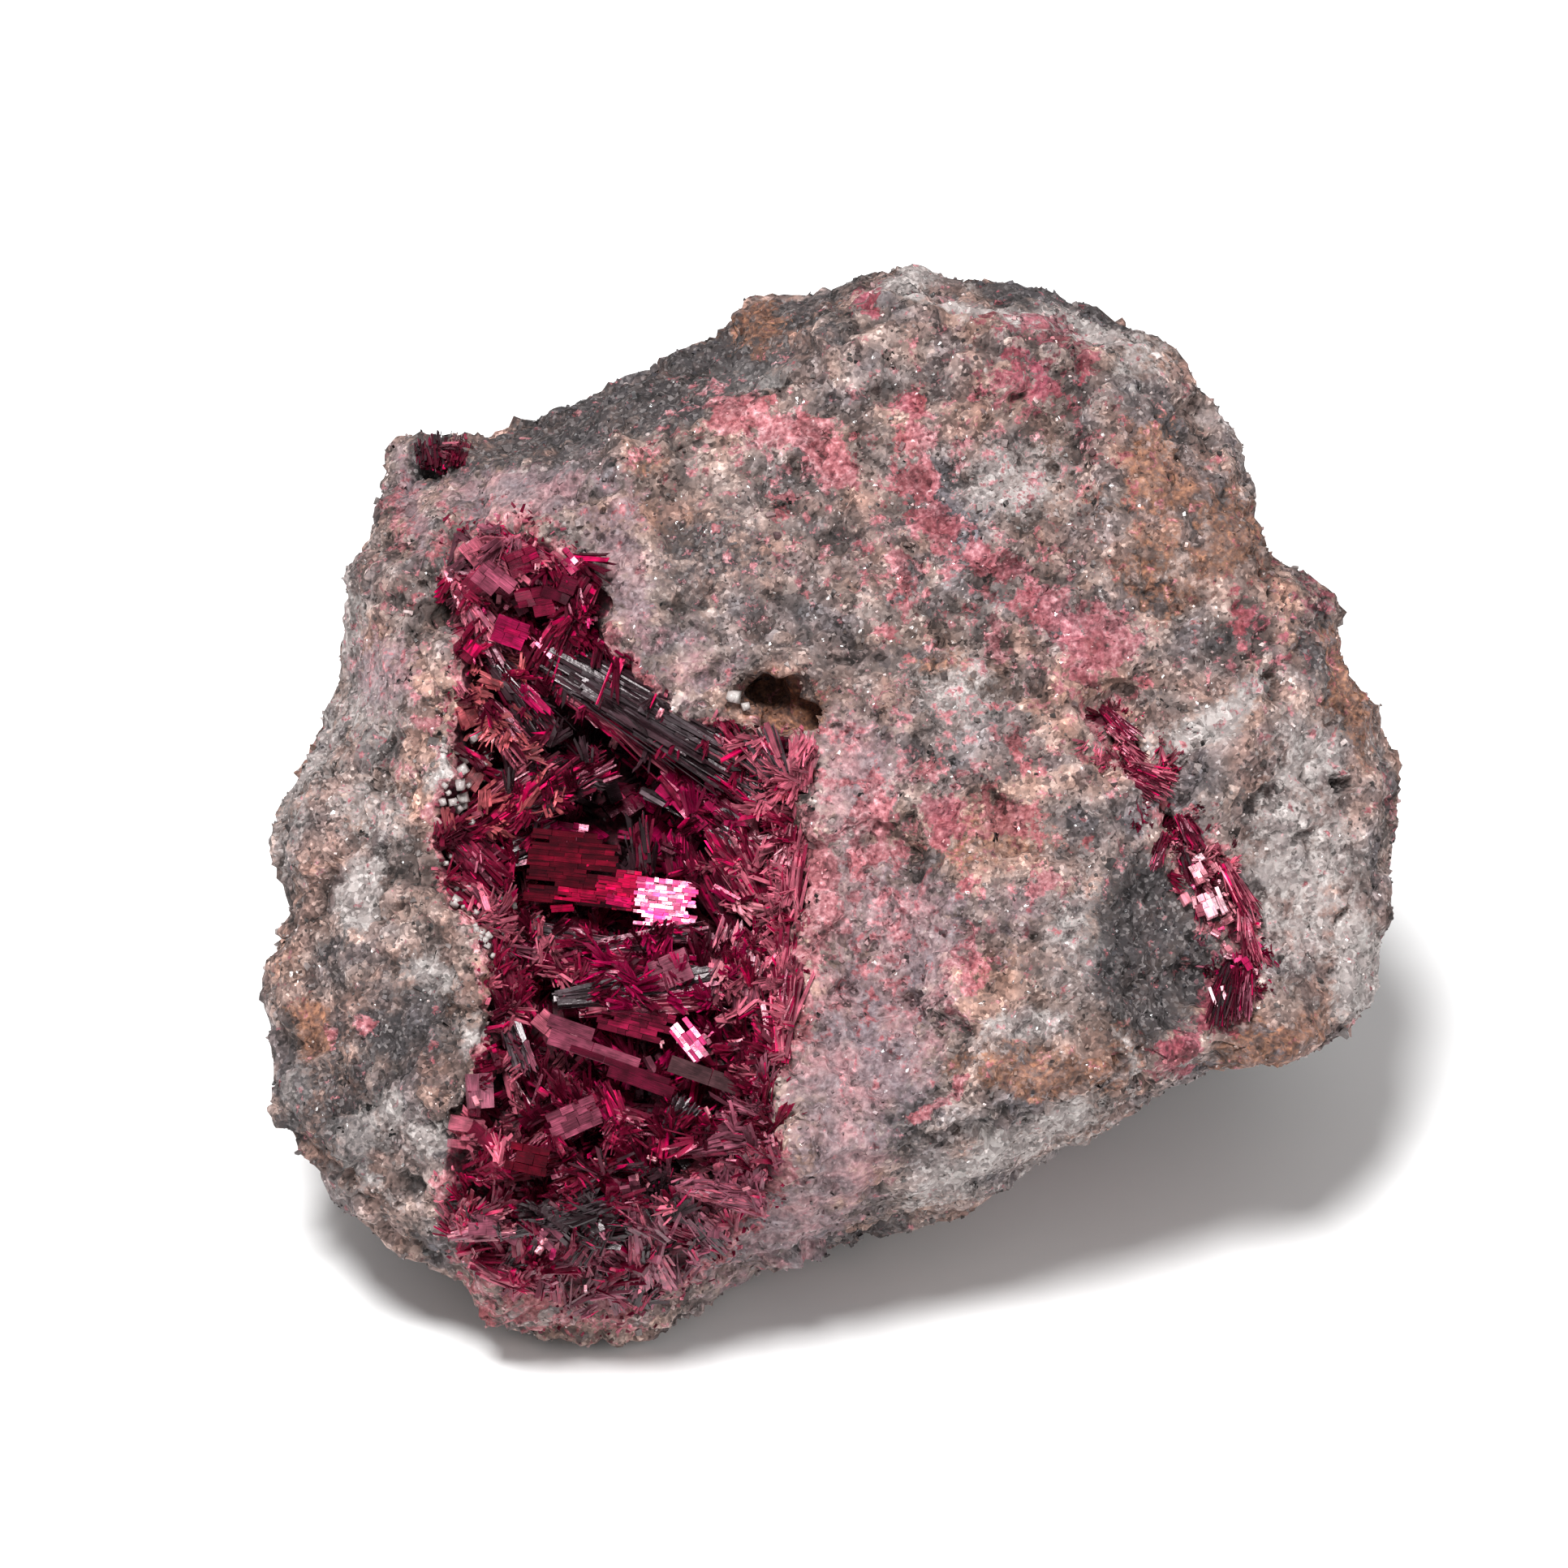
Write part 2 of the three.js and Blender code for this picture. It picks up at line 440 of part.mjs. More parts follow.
// The layer that the blades of a crust grow from. Its edge dives under the rock.
function crustLayer({ rings, centre, edge, thickness }) {
  const walk = edgeWalk(edge);
  const middle = new THREE.Vector2(...centre);
  const layerPoint = (raise) => ({ share, turn }) => {
    const { x, y } = walk(turn).lerp(middle, 1 - share);
    const lumps = 0.5 * noise(x / 1.9, y / 1.9, 71.5) + 0.4 * noise(x / 4, y / 4, 77.5);
    const top = share === 1 ? -CRUST_ROOT / 2 : raise > 0 ? raise + lumps : raise;
    return place(x, y, frontSurface(x, y) + CRUST_GAP + top);
  };
  return sheetSolid(rings, layerPoint(thickness), layerPoint(-CRUST_ROOT));
}

// One crust: its layer and sprays joined, with the rock cut out and loose chips left off.
function crustSolid(layer, sprays, rock) {
  const joined = wasm.Manifold.union([crustLayer(layer), ...sprays.flatMap(spraySolids)]);
  const trimmed = joined.subtract(rock).simplify(CRUST_TOLERANCE);
  return trimmed.decompose().sort(LARGEST_FIRST)[0];
}

// A three.js mesh from a solid.
function meshOf(name, solid, color, roughness) {
  const { numProp, vertProperties, triVerts } = solid.getMesh();
  const positions = new Float32Array((vertProperties.length / numProp) * 3);
  for (let n = 0; n < positions.length / 3; n++)
    positions.set(vertProperties.subarray(n * numProp, n * numProp + 3), n * 3);
  const geometry = new THREE.BufferGeometry()
    .setAttribute("position", new THREE.BufferAttribute(positions, 3))
    .setIndex(new THREE.BufferAttribute(triVerts, 1));
  geometry.computeVertexNormals();
  const mesh = new THREE.Mesh(geometry, new THREE.MeshStandardMaterial({ color, roughness, metalness: 0 }));
  mesh.name = name;
  return mesh;
}

const matrix = rockSolid().simplify(MATRIX_TOLERANCE);
const raisedRock = rockSolid(CRUST_GAP).simplify(MATRIX_TOLERANCE);

const vugCrust = crustSolid(VUG_LAYER, VUG_SPRAYS, raisedRock);
const fissureCrust = crustSolid(FISSURE_LAYER, FISSURE_SPRAYS, raisedRock);

const specimen = new THREE.Group();
specimen.add(
  meshOf("matrix", matrix, 0x8a827e, 0.85),
  meshOf("vug_erythrite", vugCrust, 0x6a1230, 0.4),
  meshOf("fissure_erythrite", fissureCrust, 0x7c1a3a, 0.4),
);

// The origin goes to the middle of the block's footprint, on the surface that it rests on.
const box = new THREE.Box3().setFromObject(specimen);
const middle = box.getCenter(new THREE.Vector3());
specimen.position.set(-middle.x, -middle.y, -box.min.z);

export default specimen;
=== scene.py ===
"""Erythrite on matrix: the finished look of a hand-sized block of grey rock with crimson crystals.

Laid out as an add-on and run as a script. Each operator makes one piece or a group of like pieces
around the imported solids; the panel in the sidebar lists them. Sizes are in millimetres here and
become metres in the meshes.
"""

import math

import bpy
import numpy as np
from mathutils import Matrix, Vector


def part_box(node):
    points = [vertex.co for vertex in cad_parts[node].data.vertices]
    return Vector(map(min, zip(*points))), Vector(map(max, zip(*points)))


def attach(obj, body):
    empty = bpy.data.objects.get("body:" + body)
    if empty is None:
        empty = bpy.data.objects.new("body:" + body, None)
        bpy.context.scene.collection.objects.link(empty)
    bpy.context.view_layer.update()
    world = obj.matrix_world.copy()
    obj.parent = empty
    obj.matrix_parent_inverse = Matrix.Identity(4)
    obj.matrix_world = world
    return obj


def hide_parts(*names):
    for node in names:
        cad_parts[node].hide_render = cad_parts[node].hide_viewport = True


bl_info = {
    "name": "Erythrite on Matrix",
    "version": (1, 0, 0),
    "blender": (4, 5, 0),
    "location": "View3D > Sidebar > Erythrite",
    "description": "Builds a block of grey rock with a vug and a fissure of crimson erythrite blades",
    "category": "Add Mesh",
}

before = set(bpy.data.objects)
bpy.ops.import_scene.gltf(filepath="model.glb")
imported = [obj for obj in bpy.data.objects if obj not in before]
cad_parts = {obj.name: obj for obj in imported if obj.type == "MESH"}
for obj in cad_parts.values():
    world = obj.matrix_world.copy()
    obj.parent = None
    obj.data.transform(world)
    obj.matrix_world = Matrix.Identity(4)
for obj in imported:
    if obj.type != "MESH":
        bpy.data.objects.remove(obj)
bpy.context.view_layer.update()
ROCK_LOW, ROCK_HIGH = (np.array(corner) * 1000 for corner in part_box("matrix"))

MM = 0.001

# The sight frame: right, up and toward, square on to an eye that looks down on the broad face from
# 36 degrees. Its origin, the heart, is inside the block.
SIGHT_RISE = math.radians(36)
SIGHT_DISTANCE = 680.0
HEART = np.array([-0.235, 5.528, 26.3])
RIGHT = np.array([1.0, 0.0, 0.0])
UP = np.array([0.0, math.sin(SIGHT_RISE), math.cos(SIGHT_RISE)])
TOWARD = np.array([0.0, -math.cos(SIGHT_RISE), math.sin(SIGHT_RISE)])
BROAD_LEVEL, BROAD_LEAN = 26.0, 0.22
# The slope, in the sight frame, that throws the key light to the eye.
MIRROR = np.array([-0.05, 0.28, 0.96])

# The vug's edge on the broad face, right and up from the heart, anticlockwise from the right.
VUG_CENTRE = np.array([-16.5, -7.1])
VUG_EDGE = np.array([
    (-2.4, -0.7), (-3, 5.7), (-7.8, 5.4), (-12.6, 7), (-18.4, 12.8), (-19.7, 19.2), (-24.2, 22.4),
    (-29.9, 21.7), (-30.9, 18.5), (-29.9, 12.1), (-29.3, 1.9), (-31.9, -1.3), (-29.9, -7.8), (-27.4, -10.3),
    (-27.1, -16.1), (-27.6, -21.6), (-30.9, -29.6), (-29.3, -36.6), (-24.8, -40.1), (-19.7, -41.2),
    (-15.2, -41.1), (-11.3, -38), (-6.2, -32.8), (-3.3, -28.9), (-4.9, -22.8), (-3.6, -19.3), (-2.8, -10.3),
])
FISSURE_LINE = np.array([
    (22.2, 5.4), (24.2, 3), (25.8, -0.1), (29, -4.6), (31.6, -9.7), (32.2, -14.6),
])
FISSURE_WIDTH = 1.25

# Stains on the rock, by kind: right, up, half sizes, turn in degrees, strength.
STAINS = {
    "pink": [
        # Bright pink patches of fine erythrite left of the middle
        (-8.1, 31, 3.1, 1.7, -25, 1.1), (-2.7, 28.8, 3.6, 1.9, -30, 1.2), (-0.1, 27.2, 2, 1.9, 0, 1.2),
        (-4.6, 23.7, 1, 1.5, 0, 0.6), (-14.5, 28, 1.6, 0.9, 15, 0.55),
        # The forked vein that runs down the broad face
        (6.1, 31.6, 1, 2, 8, 0.9), (6.6, 28.6, 1.5, 2.2, 0, 0.8), (6.5, 25.6, 2, 1.8, 0, 1),
        (8.5, 21.9, 3, 1.9, -28, 1), (12.3, 19, 3.4, 1.5, -30, 0.95), (16.9, 15.9, 2.9, 2, -30, 1),
        (20.7, 12.8, 3.2, 2.9, -40, 1.1), (19.2, 10.2, 2.6, 1.5, 10, 0.8), (12.7, 12.8, 2.1, 2.2, 0, 0.65),
        (5, 17.4, 1.2, 2.7, 12, 0.85), (3.8, 13.8, 1.2, 1.5, 0, 0.6),
        # Raspberry stains under the top edge
        (16.2, 37.4, 4.2, 1, -14, 0.75), (15.4, 33.6, 3.6, 2, -12, 0.72), (20.2, 35.4, 1.3, 1.6, 0, 0.7),
        (3, 39.4, 1, 1.5, 0, 0.75),
        # Spots between the vug and the fissure
        (8.5, -1.3, 2, 2, 0, 1), (13.7, -1.3, 2.4, 1.7, 0, 1.05), (16.4, -5.8, 1.3, 1, 0, 0.9),
        (7.4, 2.6, 1.5, 1, 20, 0.7), (3.4, -0.4, 1.6, 3.2, 0, 0.85), (-1.4, -7, 1.1, 6.4, 0, 1.15),
        (-2.4, -16.6, 0.8, 3.6, 0, 0.8), (1.4, -4.8, 1.2, 3, 0, 0.85), (-0.4, 1.8, 1.6, 0.9, 0, 0.8),
        (11.4, -12, 1.5, 2.8, 0, 0.75), (11.2, -6.6, 1.1, 1.3, 0, 0.55), (9.8, -16.6, 1.5, 1, 0, 0.5),
        (9.8, -22.3, 0.8, 0.9, 0, 0.9), (7.9, -24.6, 1.6, 0.5, 30, 0.8), (-32.2, 6.8, 0.8, 0.6, 0, 1),
        (-37.2, -18, 0.8, 0.8, 0, 0.7), (-40.6, -18.4, 0.6, 0.7, 0, 0.9), (31.2, -15.4, 2, 2.2, 0, 1.1),
        (27.3, -19.2, 2.3, 1.3, 20, 1.1), (32.2, 15.3, 1.4, 2.3, 10, 0.6), (38.3, 16.9, 1.6, 2.2, 0, 0.65),
        (43.6, 0.3, 0.8, 1.8, 0, 0.6), (-34.7, 22.7, 1.1, 3, 0, 0.7), (24.6, 9, 1, 1.2, 0, 0.4),
        # Faint scatter, so that only specks come through
        (10, 3, 13, 9, 0, 0.30), (14, 30, 13, 8, -20, 0.26), (-6, 24, 11, 8, -20, 0.22),
        (3, -8, 5, 12, 0, 0.40), (35, 14, 7, 8, 0, 0.26), (-35, 12, 4, 14, 0, 0.22),
        (13, -14, 7, 7, 0, 0.22), (10, 18, 12, 8, -30, 0.30),
    ],
    # Deeper raspberry, where the pink is thick
    "berry": [
        (16, 35.4, 6.4, 4.4, -12, 1), (3, 39.4, 1.6, 2.2, 0, 1), (31.2, -15.4, 3, 3, 0, 1.2),
        (12, 19.4, 9, 3, -36, 0.42), (20, 12.4, 4, 4, 0, 0.55), (6.1, 32.2, 1.6, 2, 0, 0.8),
        (27.1, -19.3, 2.6, 1.8, 20, 1), (37, 16, 8, 5, 0, 0.8), (8.5, -1.3, 2, 2.4, 0, 0.6),
    ],
    # Powdery lilac film down the slope to the right of the vug, and thinner above it
    "lilac": [
        (2.1, 1.9, 3.6, 5, 0, 0.9), (1, -7, 4.4, 6.5, 0, 0.85), (6.6, -11.6, 5.2, 5.4, 0, 0.95),
        (1.4, -19, 4.8, 8, -8, 1), (3.8, -20.4, 3.4, 6.2, -14, 0.9), (0.2, -28, 3.8, 4.6, -10, 0.85),
        (-4.3, -32.6, 6, 3.4, 20, 0.9), (-9, -36, 5, 2.6, 25, 0.7), (-17, 18.5, 2.8, 7.5, 10, 0.8),
        (-24.8, 24.2, 5.6, 1.8, 5, 0.95), (-33.6, 23.4, 1.3, 4, 18, 0.95), (-35.7, 10.2, 2.6, 3.4, 0, 0.8),
        (-12, 10.5, 4, 3, 0, 0.5), (14, -9, 3, 5, 0, 0.4),
    ],
    # Iron brown
    "rust": [
        (25.4, 27, 2.4, 4, 10, 0.8), (31.6, 21.7, 3.4, 4.4, 20, 0.7), (27, 19, 6, 5, 0, 0.52),
        (21, 24, 4, 3, 0, 0.35), (27.6, 24.4, 1.6, 1, 30, 1.1), (30, 19, 1.8, 0.9, -20, 1.1),
        (15.6, -20.9, 7.2, 1.9, -3, 0.85), (40.6, 9.6, 2, 5.4, 16, 0.85), (-6.2, 37.4, 2.4, 1.8, 15, 0.75),
        (33.5, -19.6, 4.2, 1.4, 5, 0.6), (8.2, 10.8, 2.2, 0.9, -10, 0.7), (-3.4, 7.2, 4.4, 2.4, -24, 0.9),
        (-41.6, -17.6, 1.3, 2, 0, 1.1), (-29, 12.6, 0.9, 1.6, 0, 1), (34.8, -18.4, 4.6, 1.5, 5, 0.7),
        (12, -2.6, 6, 3.4, 0, 0.62), (6.4, 30.6, 0.9, 2.2, 0, 0.7), (-15, 27, 3, 1.6, 20, 0.5),
        (23, -19, 3.4, 2, 0, 0.45), (-23.5, -38.8, 3, 1.8, 0, 0.5),
    ],
    # Pale quartz
    "pale": [
        (30.4, 7.4, 5.6, 1.5, 32, 0.9), (-41.5, 4, 2.6, 11, -14, 0.6), (-36, -1, 3.4, 4, 0, 0.5),
        (41.2, -13.2, 2.4, 4.4, 0, 1.1), (-7.2, 33.9, 3.3, 1.5, 10, 0.7), (6, 41, 1.8, 1.4, 0, 1),
        (15.2, 38.3, 8, 0.75, -11, 1.15), (20, -9.7, 2.6, 5, 0, 0.5), (14.3, -17.8, 5, 1.4, 0, 0.6),
        (36.5, -5, 4.6, 9, 10, 0.62), (19.5, -27, 8, 1.4, 24, 0.6), (24, 35.4, 2.4, 3, 0, 0.55),
        (14.5, 25.4, 4.4, 3.4, 0, 0.62), (10, 8.6, 4.4, 3.6, 0, 0.6), (-36.4, 8, 3.2, 5, 0, 0.72),
        (-31, 2.6, 1.4, 3.4, 0, 0.9), (-37.6, -7.4, 1.9, 3, -10, 1.1), (-32.4, -13.4, 2.4, 1.8, 0, 0.9),
        (-28.7, -18, 1.7, 1.8, 0, 1), (-37.4, -26, 2.2, 2, 0, 1.1), (-34.6, -24.4, 1.2, 1.6, 0, 0.9),
        (-42.2, -22.6, 1.2, 1.6, 0, 0.9), (-31.8, -26.4, 1.8, 1.4, 0, 0.8), (-38.5, 14, 2.2, 3.6, 0, 0.7),
        (-37.5, -30, 4, 1.2, -40, 0.7), (23.3, -19.6, 0.45, 4.2, 4, 1), (18.2, -24.6, 3.8, 1.4, 20, 0.8),
        (12.6, -28, 7, 1.5, 24, 0.9), (37.4, 3, 3.6, 4.6, 0, 0.6), (-25.6, 24, 4.6, 0.9, 4, 0.5),
    ],
    # Dark rock, painted shade in the hollow beside the fissure and in pockets, and darker patches at the
    # lower left and in a pit
    "dark": [
        # On the next line, the third is painted shade: a dark patch where the hollow beside the fissure
        # lies in shadow.
        (-14.6, 33, 17, 3.2, 24, 1), (15, 41, 9.4, 1.7, -13, 1.2), (25.4, -11.2, 4.2, 6.4, 12, 1.5),
        # The first two here darken the lower left, and the third darkens the pit at (-35.8, -18.2).
        (-39.5, -23, 4.6, 9, 8, 0.62), (-34, -17, 5, 6, 0, 0.5), (-35.8, -18.2, 1.2, 2.1, 20, 1.3),
        (-44, -27, 1.4, 3.4, -20, 0.9), (-36.4, 4.6, 2.2, 1.6, 30, 0.55), (-39.6, -11.4, 2.6, 2, 40, 0.6),
        # The last on the next line is painted shade in the pocket under the corner tuft.
        (-42.6, -2, 1.2, 3, 0, 0.5), (-30, 25.8, 2.3, 1.3, 10, 1.3), (-31.9, 27.2, 1.6, 1.5, 0, 1.6),
        (6.4, -26, 3, 1.6, 30, 0.7), (-9.4, 20, 6, 4.6, 0, 0.66), (-6, 29, 1.6, 1.2, 0, 0.4),
        (20.4, 18.6, 2, 1.4, 0, 0.5), (27.6, -24.6, 6, 0.9, 22, 0.7), (2, -34.8, 9, 1.6, 14, 0.6),
        (-10, 16, 3.4, 2.6, 0, 0.45), (-15.4, 13, 2, 2.6, 0, 0.6), (3, 20.5, 5, 3, 20, 0.4),
        # The second on the next line is painted shade in the two pockets near (-4, 8).
        (4.6, 7, 4, 3, 0, 0.4), (-4.3, 8.3, 2.4, 1.1, -24, 1.6), (38.2, 11, 1.2, 6, 24, 0.8),
        (31, 1.6, 3.2, 3.4, 0, 0.32), (30, 22.5, 3, 3, 0, 0.3), (-12, 38, 10, 2, 30, 0.5),
    ],
}
STAIN_KINDS = ("pink", "lilac", "rust", "pale", "dark", "vug", "berry")

# Small pockets in the broad face: right, up, half sizes, turn in degrees, depth.
POCKETS = [
    (-5.2, 8.8, 1.7, 1.1, -20, 2.4), (-2.4, 6.9, 1.3, 0.9, -35, 2.2), (-30.4, 15.2, 1.2, 1.2, 0, 2.2),
    (40.6, 1.8, 0.9, 0.6, 0, 1.6), (24.9, -22, 0.8, 0.5, 0, 1), (-31.6, 6.6, 0.5, 0.7, 0, 1.2),
    (6, 20.2, 0.5, 0.5, 0, 0.8), (-31.9, 27, 1.4, 1.1, 0, 1), (6.2, -1.8, 0.5, 1.4, 0, 1),
    (26.1, -0.8, 0.8, 1.6, 20, 2.4), (-35.8, -18.2, 0.8, 1.4, 20, 0.9), (-33.9, 25.6, 0.4, 1.2, 30, 1),
    (38, -4, 0.7, 1.2, 0, 0.9),
]

# Tints of erythrite, as linear colour and clearness (0 opaque, 1 clear).
TINTS = {
    "crimson": (0.150, 0.004, 0.024, 0.40),
    "deep": (0.060, 0.002, 0.011, 0.30),
    "black": (0.020, 0.008, 0.011, 0.05),
    "steel": (0.050, 0.033, 0.039, 0.05),
    "magenta": (0.30, 0.003, 0.055, 0.40),
    "red": (0.075, 0.0004, 0.006, 0.35),
    # Painted glow: a bright red that stands for light shining through the red cleavage plate.
    "ember": (0.34, 0.001, 0.034, 0.35),
    "coral": (0.30, 0.060, 0.070, 0.05),
    "rose": (0.32, 0.070, 0.105, 0.10),
    "mauve": (0.17, 0.045, 0.070, 0.15),
    "wine": (0.17, 0.034, 0.060, 0.20),
    "brown": (0.060, 0.024, 0.028, 0.10),
    # Painted glow: a bright tint that stands for light caught inside a blade or a plate.
    "hot": (0.60, 0.003, 0.090, 0.40),
    "pink": (0.48, 0.16, 0.20, 0.10),
    "glint": (0.62, 0.03, 0.16, 0.15),
    # Pale pink, lighter than the crystal's own colour: a painted highlight on small plates that also face
    # the mirror slope and catch real glints.
    "painted_glint_pink": (0.62, 0.30, 0.36, 0.05),
}

# The share of blades that take the painted glow, a bright tint that stands for light caught inside them,
# and the tints that never take it.
PAINTED_GLOW_SHARE = 0.05
DULL_TINTS = (
    "black", "steel", "mauve", "rose", "pink", "coral", "wine", "brown", "glint", "painted_glint_pink", "red", "ember",
)

